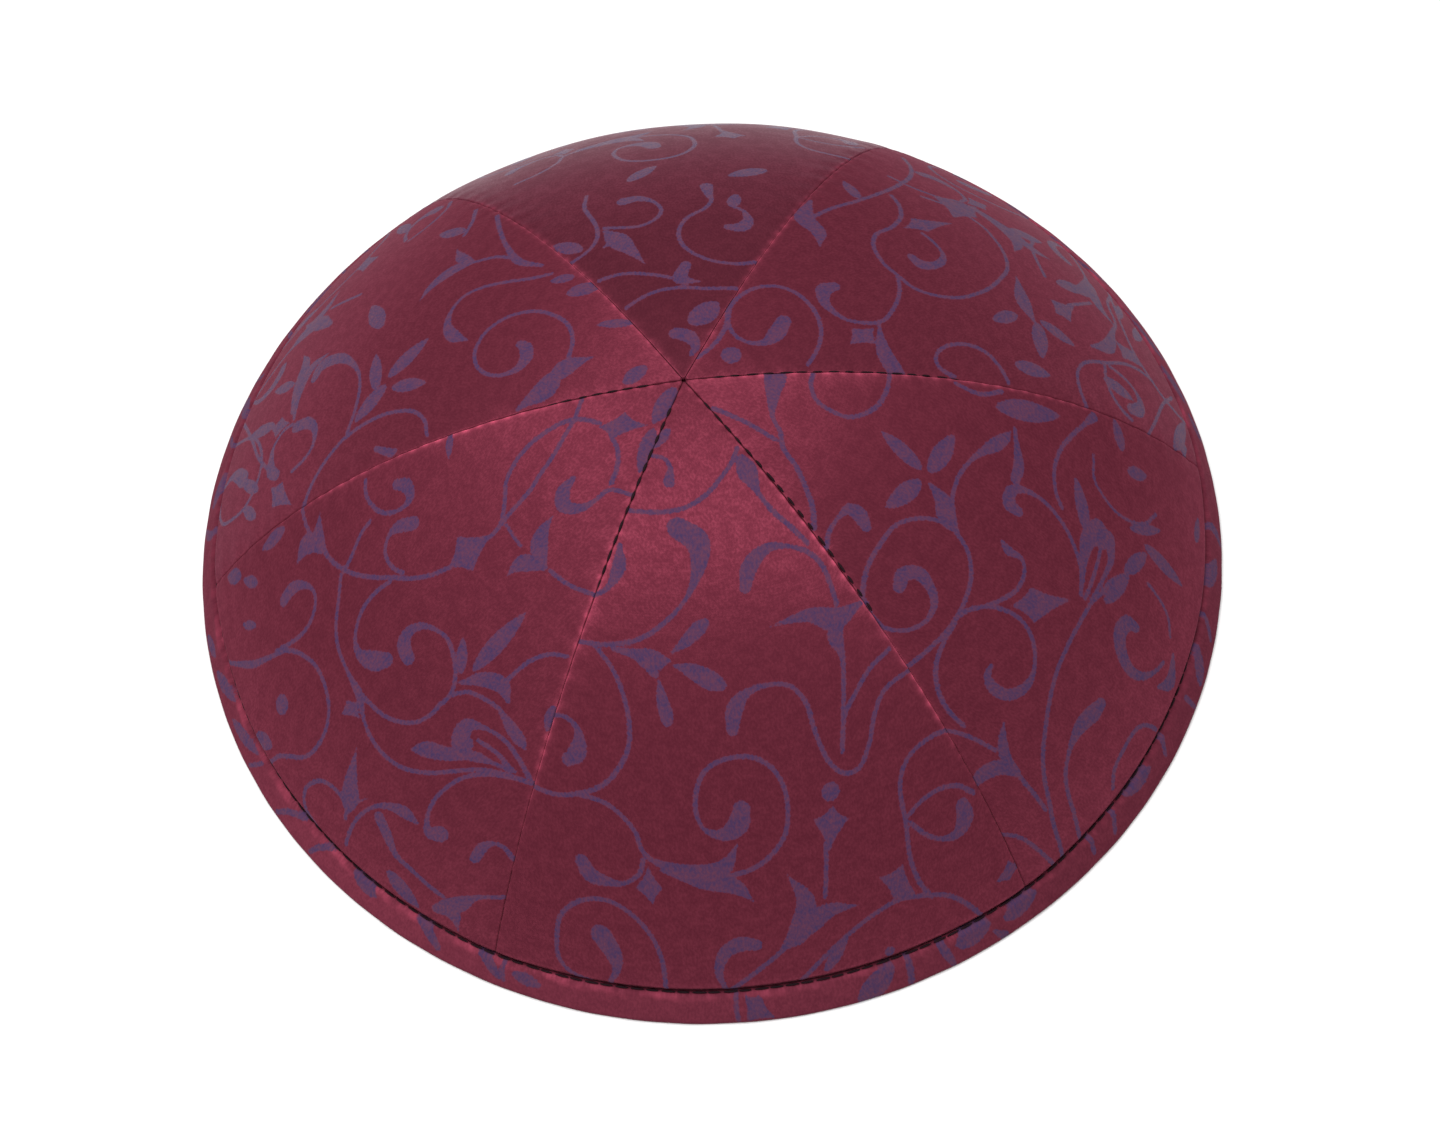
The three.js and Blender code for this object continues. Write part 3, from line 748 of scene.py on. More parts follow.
# How far each cloth point lies inside a bud: its four sides bow in a little
def insideDart(u, v, corners):
    outline = []
    middle = np.mean(corners, axis=0)
    for start, end in zip(corners, corners[1:] + corners[:1]):
        for share in np.linspace(0, 1, scrollLines["dartPoints"], endpoint=False):
            point = mix(np.array(start), np.array(end), share)
            outline.append(mix(point, middle, scrollLines["dartBow"] * math.sin(math.pi * share)))
    inside = np.zeros(u.shape, bool)
    away = np.full(u.shape, farAway)
    for start, end in zip(outline, outline[1:] + outline[:1]):
        away = np.minimum(away, fromStretch(u, v, start, end)[0])
        crosses = (start[1] > v) != (end[1] > v)
        rise = end[1] - start[1]
        rise = rise if abs(rise) > veryShort else veryShort
        inside ^= crosses & (u < start[0] + (v - start[1]) * (end[0] - start[0]) / rise)
    return np.where(inside, away, -away)


# Distance inside the scroll at each cloth point, held within the reach that the woven edge needs
def scrollDepth(u, v, chart):
    reach = scrollLines["reach"]
    depth = np.full(u.shape, -reach)
    runs = [smoothRun(points) for points in chart["vines"]]
    runs += [leafRun(*leaf) for leaf in chart["leaves"]]
    dot = scrollLines["dotStroke"]
    for across, down, size in chart["dots"]:
        runs.append(np.array([(across, down - dot, size), (across, down + dot, size)]))
    shapes = [(run, insideRun) for run in runs]
    shapes += [(corners, insideDart) for corners in chart["darts"]]
    for shape, measure in shapes:
        places = np.array(shape, float)[:, :2]
        low = places.min(axis=0) - reach - scrollLines["margin"]
        high = places.max(axis=0) + reach + scrollLines["margin"]
        near = np.flatnonzero((u > low[0]) & (u < high[0]) & (v > low[1]) & (v < high[1]))
        if near.size:
            depth[near] = np.maximum(depth[near], measure(u[near], v[near], shape))
    return np.clip(depth, -reach, reach)


# The vines, leaves and buds of a chart below a line, turned over left to right
def turnedOver(chart, below):
    turned = {"vines": [], "leaves": [], "darts": [], "dots": []}
    for points in chart["vines"]:
        if min(p[1] for p in points) > below:
            turned["vines"].append([(-p[0], *p[1:]) for p in points])
    for start, end, size in chart["leaves"]:
        if min(start[1], end[1]) > below:
            turned["leaves"].append(((-start[0], start[1]), (-end[0], end[1]), size))
    for corners in chart["darts"]:
        if min(p[1] for p in corners) > below:
            turned["darts"].append([(-across, down) for across, down in corners])
    return turned


# Gore cloth: a fine outer face for the scroll and the seams, and a coarse reverse
goreCloth = {
    "wall": 1.2,
    "columns": 236,
    "crownRows": 238,
    "grooveRows": 12,
    "pocketRows": 4,
    "reverseColumns": 26,
    "reverseRows": 30,
    "tipRadius": 0.4,
    "edgeColumns": 8,  # columns packed close together along each edge, and the width they cover
    "edgeWidth": 1.3,
    "seamGap": 0.02,  # half the gap between neighbouring gores
    "tucks": (5, 12),  # how sharply the cloth turns in under the binding, at the front and behind
    "tucksMeet": 0.6,  # from this share of the way round to the back, it turns in as it does there
    "grainShift": 70.0,  # each gore's grain is taken this far from its neighbour's
}
# The cloth near a seam: its broad roll, tight fold, pinches and puckers, and the light on the fold
seamCloth = {
    "rollWidth": 3.2,
    "rollShare": 0.5,  # largest share of a gore's half width that its roll takes, near the tip
    "rollDepth": 0.22,
    "rollEasing": 7,  # the roll is at its full depth this far from the tip
    "tipEasing": 14,  # and so are the pinches, puckers and wavers
    "foldWidth": 0.32,
    "foldShare": 0.45,
    "foldHeld": 0.5,  # share of its width at a needle hole, and where the thread is hidden
    "stitchPitch": 2.4,
    "stitchPhase": 1.1,  # how far one seam's stitches are out of step with the next one's
    "threadEasing": 8,  # the thread goes under over this length
    "pinchDepth": 0.06,  # each needle hole draws the fold down by this much
    "pinchWidth": 0.9,
    "pinchHidden": 0.5,  # pinches are this much as deep where the thread is hidden
    "puckerDepth": 0.05,
    "puckerPitch": 5.1,
    "puckerDrift": (1.6, 8.5),
    "puckerWidth": 3.2,
    "waverDepth": 0.16,
    "waverPitch": 6.3,
    "waverShift": 31,
    "waverInset": 8,  # the wavers die out over this length towards a seam
    "foldShine": 0.55,  # how far the light on the fold reaches
    "beadsHidden": (0.3, 0.7),  # light all along the fold, and in beads, where the thread is hidden
    "beadsShown": (0.15, 0.7),  # and where it shows
    "beadsEnd": (60, 72),  # between these lengths down the beads fade to the share that is left
    "beadsLeft": 0.2,
    "tipLight": 0.5,  # share of the light that is left at the tip
    "patchLevel": 0.95,  # the light comes and goes along the fold
    "patchSwing": 0.55,
    "patchPitch": 4.3,
    "patchShift": 17,
    "patchSlant": 0.6,
}
# Seams from the front left one, going round: how far down the thread shows, where its near-black stitches
# also paint the shadow in the seam's ditch; its thickness, how far to the side it strays, and how bright
# the painted highlight on the fold is on the gore after the seam and on the one before it
seams = [
    {"shows": 36, "thread": 0.46, "aside": 0.0, "foldHighlights": (0.55, 0.6)},
    {"shows": 47, "thread": 0.41, "aside": 0.25, "foldHighlights": (0.15, 1.0)},
    {"shows": 42, "thread": 0.36, "aside": 0.0, "foldHighlights": (0.1, 0.8)},
    {"shows": 2, "thread": 0.3, "aside": 0.0, "foldHighlights": (0.3, 0.45)},
    {"shows": 2, "thread": 0.3, "aside": 0.0, "foldHighlights": (0.45, 0.3)},
    {"shows": 22, "thread": 0.38, "aside": 0.0, "foldHighlights": (0.9, 0.1)},
]
# Painted shade: how light each gore's satin shows, painted into its colour from the way its cloth lies to
# the light; the one behind, turned from the light, is plainly darker
gorePaintedLight = {"gore_back": 0.72, "gore_left_back": 0.95, "gore_right_back": 0.94, "gore_left_front": 0.96}
seamShows = np.array([seam["shows"] for seam in seams])
seamFoldHighlights = np.array([seam["foldHighlights"] for seam in seams])
# The binding: a folded strip, drawn in by its stitches, with an uneven upper edge that glints
binding = {
    "height": 4.4,
    "wall": 1.0,
    "gap": 0.3,
    "grooveRun": 2.6,
    "edgeRound": 0.3,
    "aroundSteps": 1104,
    "faceSteps": 13,
    "bulge": 0.1,
    "bulgeFullness": 0.7,
    "outsideFade": 0.6,
    "unevenFrom": 0.74,  # its upper edge is uneven from this share of its height
    "rippleDepth": 0.025,
    "ripplePitch": 2.6,
    "rippleDrift": (1.2, 7.3),
    "rippleLift": 0.02,
    "slantPitch": 1.3,
    "slantSteepness": (1.4, 3),
    "slantDepth": 0.04,
    "slantLift": 0.05,
    # painted shade: its satin is darkened as the gores' is
    "paintedLight": 0.78,  # how light its satin shows, as for the gores
    # painted glints: its upper edge is lightened in glints, more towards the left
    "glintSpan": 90,  # its upper edge glints more from right to left over this length
    "glintLevels": (0.0, 0.04),  # at the right and at the left
    "glintSlants": (0.1, 0.3),
    "glintRipple": 0.06,
    "glintMost": 0.4,
    "grainShift": 200,
    "seamJoin": 0.002,  # points of its closed section that lie nearer than this are one
}
tuckDepth = binding["wall"] + binding["gap"]
bindingDepth = 2 * tuckDepth + goreCloth["wall"]
bindingTopTilt = rimTilt - binding["height"] / domeRadius
bindingTop = domeBase + domeRadius * math.cos(bindingTopTilt)
tuckedTilt = bindingTopTilt - binding["gap"] / domeRadius
grooveTilt = tuckedTilt - binding["grooveRun"] / domeRadius
goreFoot = tuckDepth
tipTilt = goreCloth["tipRadius"] / domeRadius
goreRows = goreCloth["crownRows"] + goreCloth["grooveRows"] + goreCloth["pocketRows"]


# How far a gore's rows are tilted, at shares of the way from its tip to its foot
def goreTilts(share):
    crownEnd = goreCloth["crownRows"] / goreRows
    grooveEnd = (goreCloth["crownRows"] + goreCloth["grooveRows"]) / goreRows
    foot = float(tiltAtHeight(goreFoot, tuckDepth))
    return np.interp(share, [0, crownEnd, grooveEnd, 1], [tipTilt, grooveTilt, tuckedTilt, foot])


# Distances across a gore for columns from -1 to 1, packed close together along both edges
def spreadAcross(x, edge):
    plain = 1 - 2 * goreCloth["edgeColumns"] / goreCloth["columns"]
    edgeStart = 1 - np.minimum(goreCloth["edgeWidth"] / edge, 1 - plain)
    packed = mix(edgeStart, 1, (np.abs(x) - plain) / (1 - plain))
    return np.sign(x) * edge * np.where(np.abs(x) < plain, np.abs(x) * edgeStart / plain, packed)


# 0 where a seam's thread shows, 1 where it lies under the closed seam
def threadHidden(down, shows):
    return smooth((down - shows) / seamCloth["threadEasing"] + 0.5)


# 0 at each needle hole of a seam, 1 halfway along a stitch
def alongStitch(seam, down):
    phase = 2 * np.pi * down / seamCloth["stitchPitch"] + seam * seamCloth["stitchPhase"]
    return (1 - np.cos(phase)) / 2


# How far a gore's face lies under the dome: its broad roll alone, and with all that the seam and wear add
def seamRelief(index, seam, down, half, fromSeam, across):
    sizes = seamCloth
    stitch = alongStitch(seam, down)
    shows = 1 - threadHidden(down, seamShows[seam])
    easing = smooth(down / sizes["tipEasing"])
    roll = np.minimum(sizes["rollWidth"], sizes["rollShare"] * half)
    rolled = (1 - np.minimum(fromSeam / roll, 1)) ** 2 * smooth(down / sizes["rollEasing"])
    rolled = sizes["rollDepth"] * rolled
    held = mix(sizes["foldHeld"], mix(sizes["foldHeld"], 1, stitch), shows)
    fold = np.minimum(sizes["foldWidth"] * held, sizes["foldShare"] * half)
    turn = np.clip(1 - fromSeam / fold, 0, 0.999)
    folded = fold * (1 - np.sqrt(1 - turn**2))
    pinch = (1 - stitch) ** 2 * sizes["pinchDepth"] * np.exp(-((fromSeam / sizes["pinchWidth"]) ** 2))
    pinch = pinch * easing * mix(sizes["pinchHidden"], 1, shows)
    swing, wave = sizes["puckerDrift"]
    pucker = np.sin(2 * np.pi * down / sizes["puckerPitch"] + seam + swing * np.sin(down / wave))
    pucker = pucker * sizes["puckerDepth"] * np.exp(-fromSeam / sizes["puckerWidth"]) * easing
    wavered = waver(down + sizes["waverShift"] * index, across, sizes["waverPitch"])
    wavered = sizes["waverDepth"] * wavered * smooth(fromSeam / sizes["waverInset"]) * easing
    return rolled, rolled + folded + pinch + pucker + wavered


# How far the fold at a seam catches the light, painted as a highlight in its colour: in patches, and in
# beads between or along its stitches
def paintedSeamHighlight(index, seam, after, down, fromSeam):
    sizes = seamCloth
    stitch = alongStitch(seam, down)
    shows = 1 - threadHidden(down, seamShows[seam])
    level, swing = sizes["beadsHidden"]
    shownLevel, shownSwing = sizes["beadsShown"]
    beads = mix(level + swing * stitch**2, shownLevel + shownSwing * (1 - stitch) ** 2, shows)
    fadeStart, fadeEnd = sizes["beadsEnd"]
    beads = beads * mix(1, sizes["beadsLeft"], smooth((down - fadeStart) / (fadeEnd - fadeStart)))
    beads = beads * mix(sizes["tipLight"], 1, smooth(down / sizes["tipEasing"]))
    patches = waver(down + sizes["patchShift"] * index, sizes["patchSlant"] * down, sizes["patchPitch"])
    foldHighlights = np.where(after, seamFoldHighlights[seam, 0], seamFoldHighlights[seam, 1])
    paintedHighlight = foldHighlights * beads * (sizes["patchLevel"] + sizes["patchSwing"] * patches)
    return paintedHighlight * np.exp(-((fromSeam / sizes["foldShine"]) ** 2))


# Where a gore's cloth lies: x runs -1 to 1 across, y -1 to 1 from tip to foot, and z is 0 outside, -1 inside
def goreCoordinates(index, x, y, z):
    reverse = -z
    tilt = goreTilts((y + 1) / 2)
    down = tilt * domeRadius
    after = x > 0
    seam = np.where(after, index, index + 1) % len(goreNames)
    half = domeRadius * np.sin(tilt) * goreAngle / 2
    edge = half - goreCloth["seamGap"]
    across = spreadAcross(x, edge)
    fromSeam = edge - np.abs(across)
    rolled, face = seamRelief(index, seam, down, half, fromSeam, across)
    angle = frontAngle + index * goreAngle - across / (domeRadius * np.sin(tilt))
    fromFront = np.abs((angle - frontAngle + np.pi) % (2 * np.pi) - np.pi) / np.pi
    tuck = mix(*goreCloth["tucks"], smooth(fromFront / goreCloth["tucksMeet"]))
    tucked = smooth((tilt - grooveTilt) / (tuckedTilt - grooveTilt)) ** tuck
    inner = mix(rolled, tuckDepth, tucked) + goreCloth["wall"]
    depth = mix(mix(face, tuckDepth, tucked), inner, reverse)
    footTilt = float(tiltAtHeight(goreFoot, tuckDepth))
    innerFoot = float(tiltAtHeight(goreFoot, tuckDepth + goreCloth["wall"]))
    inPocket = smooth((tilt - tuckedTilt) / (footTilt - tuckedTilt))
    faceTilt = tilt * mix(1, mix(1, innerFoot / footTilt, inPocket), reverse)
    # painted highlight on the seam folds, only on the outer face and not where it turns in under the binding
    paintedHighlight = paintedSeamHighlight(index, seam, after, down, fromSeam) * (1 - reverse) * (1 - tucked)
    return shellPoint(angle, faceTilt, depth), -across, down, paintedHighlight


def storeAttribute(mesh, name, kind, values):
    field = "vector" if kind == "FLOAT_VECTOR" else "value"
    attribute = mesh.attributes.new(name, kind, "POINT")
    attribute.data.foreach_set(field, values.astype(np.float32).ravel())


# The cloth laid flat, in decimetres, along its threads and then across them, so that it shines across them
def storePanel(mesh, along, across):
    corners = np.empty(len(mesh.loops), np.int32)
    mesh.loops.foreach_get("vertex_index", corners)
    panel = np.column_stack([along[corners], across[corners]]) / decimetre
    mesh.uv_layers.new(name="panel").data.foreach_set("uv", panel.astype(np.float32).ravel())


def readCoordinates(mesh):
    flat = np.empty(len(mesh.vertices) * 3, np.float32)
    mesh.vertices.foreach_get("co", flat)
    return flat.reshape(-1, 3).astype(float)


def addPiece(name, mesh, materials):
    for material in materials:
        mesh.materials.append(material)
    for polygon in mesh.polygons:
        polygon.use_smooth = True
    piece = bpy.data.objects.new(name, mesh)
    bpy.context.scene.collection.objects.link(piece)
    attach(piece, "root")
    return piece


# Two flat grids, one over the other, joined round their borders into a closed sheet of cloth
def clothSlab(columns, rows, reverseColumns, reverseRows):
    slab = bmesh.new()
    bmesh.ops.create_grid(slab, x_segments=columns, y_segments=rows, size=1)
    reverse = bmesh.ops.create_grid(slab, x_segments=reverseColumns, y_segments=reverseRows, size=1)
    bmesh.ops.translate(slab, verts=reverse["verts"], vec=(0, 0, -1))
    borders = [edge for edge in slab.edges if edge.is_boundary]
    bmesh.ops.bridge_loops(slab, edges=borders)
    bmesh.ops.recalc_face_normals(slab, faces=slab.faces)
    for face in slab.faces:
        face.material_index = 1 if face.calc_center_median().z < -0.9 else 0
    mesh = bpy.data.meshes.new("cloth_slab")
    slab.to_mesh(mesh)
    slab.free()
    return mesh


def makeGore(index, name, slab, materials):
    mesh = slab.copy()
    mesh.name = name + "_cloth"
    places, across, down, paintedHighlight = goreCoordinates(index, *readCoordinates(mesh).T)
    mesh.vertices.foreach_set("co", places.astype(np.float32).ravel())
    depth = scrollDepth(across, down, goreScrolls[name])
    if name in hiddenStretch:
        repeated = turnedOver(frontScroll, hiddenStretch[name])
        depth = np.maximum(depth, scrollDepth(across, down, repeated))
    grainDepth = np.full(len(down), goreCloth["grainShift"] * index)
    storeAttribute(mesh, "scroll", "FLOAT", depth)
    # the fold attribute holds the painted highlight on the seam folds
    storeAttribute(mesh, "fold", "FLOAT", np.clip(paintedHighlight, 0, 1))
    # painted shade: each gore's painted light level, lower on the gores turned from the light
    storeAttribute(mesh, "paintedLight", "FLOAT", np.full(len(down), gorePaintedLight.get(name, 1.0)))
    storeAttribute(mesh, "cloth", "FLOAT_VECTOR", np.column_stack([across, down, grainDepth]))
    storePanel(mesh, down, across)
    mesh.update()
    piece = addPiece(name + "_cloth", mesh, materials)
    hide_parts(name)


brocade = makeBrocade()
reverseCloth = makeReverse()
seamThreadAndShade = makeThread()
slab = clothSlab(goreCloth["columns"], goreRows, goreCloth["reverseColumns"], goreCloth["reverseRows"])
for index, name in enumerate(goreNames):
    makeGore(index, name, slab, [brocade, reverseCloth])
    print("sewn", name)

# The binding's scroll is cut off by its narrow strip: the front half round, repeated behind. Millimetres
# along the rim from the middle of the front, and up from the floor.
bindingRepeat = math.pi * rimRadius
bindingScroll = {
    "vines": [
        [(-99.4, 1.2), (-97.2, 3.8)],
        [(-89.8, 1), (-87.4, 3.2, 0.5), (-84, 4.6)],
        [(-80.6, 1.4), (-79, 3.4, 0.5), (-76, 5.2)],
        [(-58.2, 5.4, 0.8), (-56, 4, 0.9), (-53.4, 2.2, 0.6)],
        [(-46.2, 4.9, 0.7), (-44.5, 3.6, 0.9), (-42.8, 2.2, 0.6)],
        [(-42, 5.2), (-42.2, 3.6), (-41.8, 1.8)],
        [(-5.3, 4.8), (-5.4, 3), (-5.2, 0.8)],
        [(21.9, 4.7, 0.5), (21.9, 3, 0.6), (21.6, 0.8, 0.5)],
        [(27.6, 4.2, 0.7), (28.2, 2.4, 0.7), (28.8, 0.5, 0.4)],
        [(36.4, 2.4, 0.3), (37.8, 0.7, 0.8)],
        [(57.2, 5.7), (57.6, 4, 0.5), (57.1, 2.2)],
        [(63.7, 5.4), (63.2, 3.6, 0.5), (62, 1.9)],
        [(79.6, 4.8, 0.6), (77.8, 2.4, 0.4)],
        [(88.2, 3.2, 0.6), (88.5, 0.9, 0.4)],
        [(104, 5.4), (103, 3.6, 0.5), (100.5, 1.8)],
        [(119, 1.2, 0.5), (121, 3.2, 0.9), (120, 5.2, 0.4)],
    ],
    "leaves": [
        ((-125, 1.4), (-119.5, 2.6), 0.8),
        ((-117.5, 2), (-109.5, 4.2), 1),
        ((-108, 2.1), (-98.5, 4.1), 0.9),
        ((-71.8, 5), (-66, 3.4), 1.2),
        ((-40.6, 3.4), (-35.6, 2.8), 0.9),
        ((13.2, 0.4), (19.6, 4.2), 1.7),
        ((30, 3.2), (36.4, 4), 1.5),
        ((38.6, 3.1), (45.4, 4), 1.3),
        ((66.5, 5.2), (74.3, 3.6), 1.4),
        ((92, 1.4), (98, 4.6), 1.1),
        ((109, 4.4), (115.5, 2.6), 1.2),
    ],
    "darts": [[(-4, 4.4), (-1.6, 4.3), (0.4, 0.6), (-4, 0.6)]],
    "dots": [],
}


# Stations of the binding's section, down the outside, under the gores' feet and up the inside
def bindingStations():
    mouth = tuckDepth - binding["gap"]
    top = bindingTop
    edgeRound = binding["edgeRound"]
    foldRound = crown["foldRound"]
    # A rounding's middle lies this share of its radius in from the corner
    roundInset = 1 - math.sqrt(0.5)
    inset = foldRound * roundInset
    edgeInset = edgeRound * roundInset
    corners = [
        (top, edgeRound, 1),
        (top - edgeInset, edgeInset, 1),
        (top - edgeRound, 0, binding["faceSteps"]),
        (foldRound, 0, 1),
        (inset, inset, 1),
        (0, foldRound, 2),
        (0, bindingDepth - foldRound, 1),
        (inset, bindingDepth - inset, 1),
        (foldRound, bindingDepth, 2),
        (top - edgeRound, bindingDepth, 1),
        (top - edgeInset, bindingDepth - edgeInset, 1),
        (top, bindingDepth - edgeRound, 1),
        (top, bindingDepth - mouth, 2),
        (binding["wall"], bindingDepth - mouth, 1),
        (binding["wall"], mouth, 2),
        (top, mouth, 1),
    ]
    stations = []
    for (height, depth, steps), (nextHeight, nextDepth, _) in zip(corners, corners[1:] + corners[:1]):
        for step in range(steps):
            stations.append((mix(height, nextHeight, step / steps), mix(depth, nextDepth, step / steps)))
    return np.array(stations + stations[:1])


def makeBinding(materials):
    stations = bindingStations()
    around = binding["aroundSteps"]
    shape = bmesh.new()
    bmesh.ops.create_grid(shape, x_segments=around, y_segments=len(stations) - 1, size=1)
    mesh = bpy.data.meshes.new("rim_binding_cloth")
    shape.to_mesh(mesh)
    grid = readCoordinates(mesh)
    station = np.rint((grid[:, 1] + 1) / 2 * (len(stations) - 1)).astype(int)
    angle = np.pi * (grid[:, 0] + 1)
    height, depth = stations[station].T
    along = angle * rimRadius
    outside = smooth((binding["wall"] - depth) / binding["outsideFade"]) * (depth < bindingDepth / 2)
    share = height / bindingTop
    bulge = binding["bulge"] * np.sin(np.pi * np.clip(share, 0, 1)) ** binding["bulgeFullness"]
    nearTop = smooth((share - binding["unevenFrom"]) / (1 - binding["unevenFrom"]))
    swing, wave = binding["rippleDrift"]
    ripple = np.sin(2 * np.pi * along / binding["ripplePitch"] + swing * np.sin(along / wave))
    steep, flat = binding["slantSteepness"]
    slant = waver(along + steep * height, flat * height, binding["slantPitch"])
    depth = depth - outside * (bulge + binding["slantDepth"] * slant)
    depth = depth + outside * nearTop * binding["rippleDepth"] * ripple
    height = height + nearTop * (binding["rippleLift"] * ripple + binding["slantLift"] * slant)
    places = shellPoint(angle, tiltAtHeight(height, depth), depth)
    mesh.vertices.foreach_set("co", places.astype(np.float32).ravel())
    fromFront = (along - frontAngle * rimRadius + bindingRepeat / 2) % bindingRepeat - bindingRepeat / 2
    storeAttribute(mesh, "scroll", "FLOAT", scrollDepth(fromFront, height, bindingScroll))
    # Painted glints on the binding's upper edge, kept in the fold attribute: more towards the left, and
    # along ripples
    leftward = smooth(0.5 - fromFront / binding["glintSpan"])
    paintedGlints = mix(*binding["glintLevels"], leftward) - binding["glintRipple"] * ripple
    paintedGlints = paintedGlints + mix(*binding["glintSlants"], leftward) * slant
    storeAttribute(mesh, "fold", "FLOAT", np.clip(outside * nearTop * paintedGlints, 0, binding["glintMost"]))
    # painted shade: the binding's satin darkened as the gores' is
    storeAttribute(mesh, "paintedLight", "FLOAT", np.full(len(along), binding["paintedLight"]))
    grain = np.column_stack([along, height + binding["grainShift"], depth])
    storeAttribute(mesh, "cloth", "FLOAT_VECTOR", grain)
    storePanel(mesh, along, height)
    shape.clear()
    shape.from_mesh(mesh)
    bmesh.ops.remove_doubles(shape, verts=shape.verts, dist=binding["seamJoin"] * millimetre)
    bmesh.ops.recalc_face_normals(shape, faces=shape.faces)
    shape.to_mesh(mesh)
    shape.free()
    piece = addPiece("rim_binding_cloth", mesh, materials)
    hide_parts("rim_binding")
    return piece


# Stitches: short round-ended threads, all of one seam's or the binding's in one mesh. Where they don't show
# they lie under the closed seam. Where they show, their near-black colour is also painted shade for the
# shadow in the seam's ditch and the binding's groove. Sewing is uneven: a plain level, and then swings as
# (size, speed).
stitches = {
    "start": 4.0,
    "sunk": 0.2,
    "hiddenSunk": 0.95,
    "length": 1.85,
    "lengths": (0.9, (0.12, 3.7), (0.1, 8.3)),
    "thicknesses": (0.92, (0.16, 5.3)),
    "asideRun": (12, 24),  # between these lengths down a straying thread moves to the side
    "sides": 6,
    "rings": 5,
    "bindingPitch": 2.42,
    "bindingLength": 2.2,
    "bindingLengths": (1, (0.08, 2.9)),
    "bindingShorter": 0.12,  # behind, its stitches are shorter by this share
    "bindingBehind": 0.3,  # this share of the way round from the front, its stitches are as behind
    "bindingThreads": (0.37, 0.26),  # thickness at the front and behind
    "bindingSunk": (0.4, 0.6),
    "bindingSinks": (0, (0.06, 27)),
    "bindingRise": 0.24,  # how far its stitches lie above the place where the gores turn in
}


def uneven(place, level, *swings):
    return level + sum(size * math.sin(speed * place) for size, speed in swings)


def addStitch(bm, start, end, thickness):
    along = end - start
    outward = (start - Vector((0, 0, domeBase * millimetre))).normalized()
    side = along.cross(outward).normalized()
    up = side.cross(along).normalized()
    turn = Matrix((side * thickness, up * thickness, along)).transposed().to_4x4()
    place = Matrix.Translation((start + end) / 2) @ turn
    sides, rings = stitches["sides"], stitches["rings"]
    bmesh.ops.create_uvsphere(bm, u_segments=sides, v_segments=rings, radius=0.5, matrix=place)


def finishThreads(bm, name):
    mesh = bpy.data.meshes.new(name)
    bm.to_mesh(mesh)
    bm.free()
    return addPiece(name, mesh, [seamThreadAndShade])


def makeSeamStitches(index, seam):
    bm = bmesh.new()
    pitch = seamCloth["stitchPitch"]
    angle = frontAngle + (index - 0.5) * goreAngle
    asideStart, asideEnd = stitches["asideRun"]

    def pathPoint(down):
        sunk = mix(stitches["sunk"], stitches["hiddenSunk"], threadHidden(down, seam["shows"]))
        aside = seam["aside"] * smooth((down - asideStart) / (asideEnd - asideStart))
        turned = angle + aside / (domeRadius * math.sin(down / domeRadius))
        return Vector(shellPoint(turned, down / domeRadius, sunk))

    inStep = (0.5 - index * seamCloth["stitchPhase"] / (2 * math.pi)) % 1 * pitch
    for begin in np.arange(inStep - stitches["length"] / 2, grooveTilt * domeRadius - pitch, pitch):
        if begin > stitches["start"]:
            length = stitches["length"] * uneven(begin, *stitches["lengths"])
            thickness = seam["thread"] * uneven(begin, *stitches["thicknesses"]) * millimetre
            addStitch(bm, pathPoint(begin), pathPoint(begin + length), thickness)
    finishThreads(bm, "seam_stitches_%d" % (index + 1))


def makeBindingStitches():
    bm = bmesh.new()
    tilt = tuckedTilt - stitches["bindingRise"] / domeRadius
    count = int(2 * math.pi * rimRadius / stitches["bindingPitch"])

    def pathPoint(angle, behind):
        sunk = mix(*stitches["bindingSunk"], behind) + uneven(angle, *stitches["bindingSinks"])
        return Vector(shellPoint(angle, tilt, sunk))

    for step in range(count):
        angle = frontAngle + 2 * math.pi * step / count
        behind = smooth(min(step, count - step) / (stitches["bindingBehind"] * count))
        length = uneven(step, *stitches["bindingLengths"]) - stitches["bindingShorter"] * behind
        end = angle + stitches["bindingLength"] * length / rimRadius
        thickness = mix(*stitches["bindingThreads"], behind) * millimetre
        addStitch(bm, pathPoint(angle, behind), pathPoint(end, behind), thickness)
    return finishThreads(bm, "binding_stitches")


for index, seam in enumerate(seams):
    makeSeamStitches(index, seam)
bindingCloth = makeBinding([brocade])
bindingThreads = makeBindingStitches()
print("binding and stitches made")

# Camera: the photo's own view, found from the outline of the rim, the crown and the seams
view = {
    "place": (-0.01202, -0.28629, 0.48184),
    "target": (0.001322, -0.000056, -0.009176),
    "roll": -4.567,
    "lens": 85.5,
    "sensor": 36,
    "clip": (0.01, 20),
}


def makeCamera():
    data = bpy.data.cameras.new("camera")
    data.lens = view["lens"]
    data.sensor_width = view["sensor"]
    data.clip_start, data.clip_end = view["clip"]
    camera = bpy.data.objects.new("camera", data)
    bpy.context.scene.collection.objects.link(camera)
    place = Vector(view["place"])
    forward = (Vector(view["target"]) - place).normalized()
    right = forward.cross(Vector((0, 0, 1))).normalized()
    upright = Matrix((right, right.cross(forward), -forward)).transposed()
    rolled = upright @ Matrix.Rotation(math.radians(view["roll"]), 3, "Z")
    camera.matrix_world = Matrix.Translation(place) @ rolled.to_4x4()
    bpy.context.scene.camera = camera


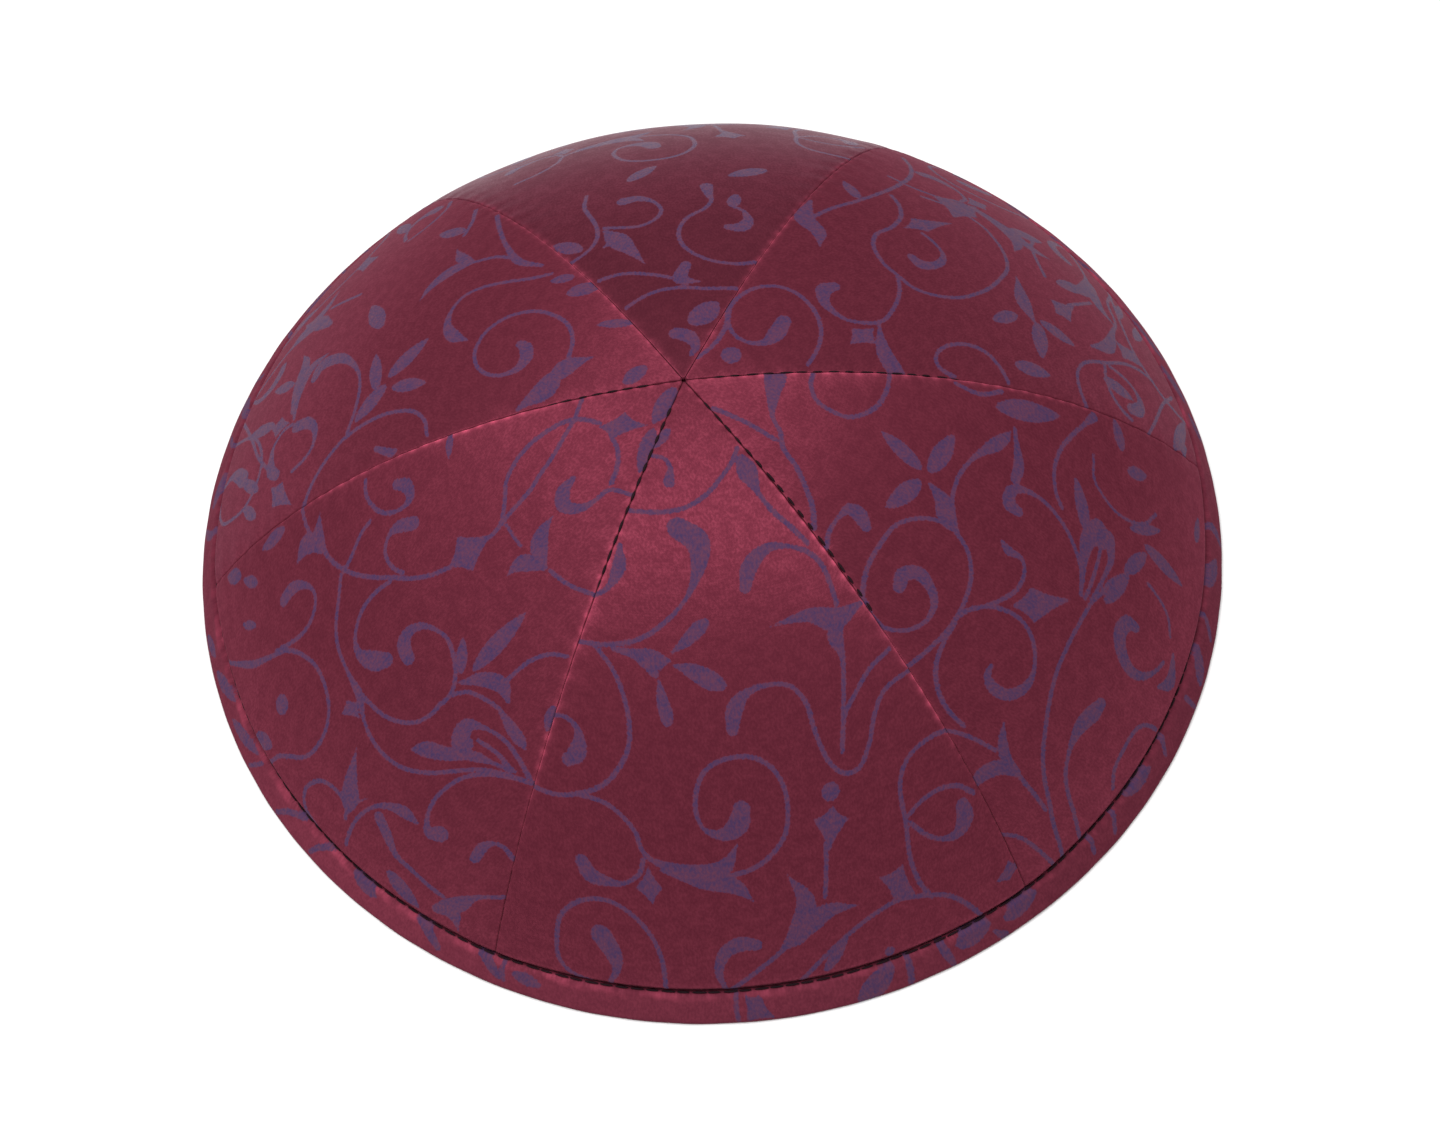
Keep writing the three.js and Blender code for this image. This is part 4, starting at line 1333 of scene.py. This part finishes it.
# Studio: a pale floor, a broad light overhead a little behind, a weak one to the left, and fill all round
studio = {
    "floorSize": 4,
    "floorColour": (0.93, 0.93, 0.93, 1),
    "floorSpeckle": (0.85, 0.85, 0.85, 1),
    "speckleScale": 40.0,
    "speckleMost": 0.02,
    "floorRoughness": 0.9,
    "floorSpecular": 0.1,
    "fill": 0.55,
}
lights = [
    {"name": "overhead", "power": 14.2, "size": 1.1, "place": (-0.16, 0.16, 1.3)},
    {"name": "side", "power": 2.6, "size": 0.7, "place": (-1.0, -0.05, 1.12)},
]


# A round light that faces the middle of the rim
def makeLight(name, power, size, place):
    data = bpy.data.lights.new(name, "AREA")
    data.shape = "DISK"
    data.size = size
    data.energy = power
    light = bpy.data.objects.new(name, data)
    bpy.context.scene.collection.objects.link(light)
    aim = (-Vector(place)).to_track_quat("-Z", "Y")
    light.matrix_world = Matrix.Translation(place) @ aim.to_matrix().to_4x4()


def makeFloor():
    material, tree, shader = newMaterial("floor")
    place = node(tree, "ShaderNodeTexCoord").outputs["Object"]
    inputs = {"Vector": place, "Scale": studio["speckleScale"]}
    speckle = node(tree, "ShaderNodeTexNoise", inputs).outputs["Fac"]
    shade = rangeOf(tree, speckle, 0.3, 0.7, 0.0, studio["speckleMost"])
    feed(tree, shader, {
        "Base Color": blendColour(tree, shade, studio["floorColour"], studio["floorSpeckle"]),
        "Roughness": studio["floorRoughness"],
        "Specular IOR Level": studio["floorSpecular"],
    })
    bm = bmesh.new()
    bmesh.ops.create_grid(bm, x_segments=1, y_segments=1, size=studio["floorSize"])
    mesh = bpy.data.meshes.new("floor")
    bm.to_mesh(mesh)
    bm.free()
    mesh.materials.append(material)
    floor = bpy.data.objects.new("floor", mesh)
    bpy.context.scene.collection.objects.link(floor)


def makeWorld():
    world = bpy.data.worlds.new("studio")
    world.use_nodes = True
    tree = world.node_tree
    tree.nodes.clear()
    seen = node(tree, "ShaderNodeBackground", {"Color": (1, 1, 1, 1), "Strength": 1.0})
    fill = node(tree, "ShaderNodeBackground", {"Color": (1, 1, 1, 1), "Strength": studio["fill"]})
    path = node(tree, "ShaderNodeLightPath")
    inputs = {0: path.outputs["Is Camera Ray"], 1: fill.outputs[0], 2: seen.outputs[0]}
    both = node(tree, "ShaderNodeMixShader", inputs)
    node(tree, "ShaderNodeOutputWorld", {"Surface": both.outputs[0]})
    bpy.context.scene.world = world


makeCamera()
makeFloor()
makeWorld()
for light in lights:
    makeLight(**light)
bpy.context.scene.view_settings.view_transform = "Standard"
print("studio set")
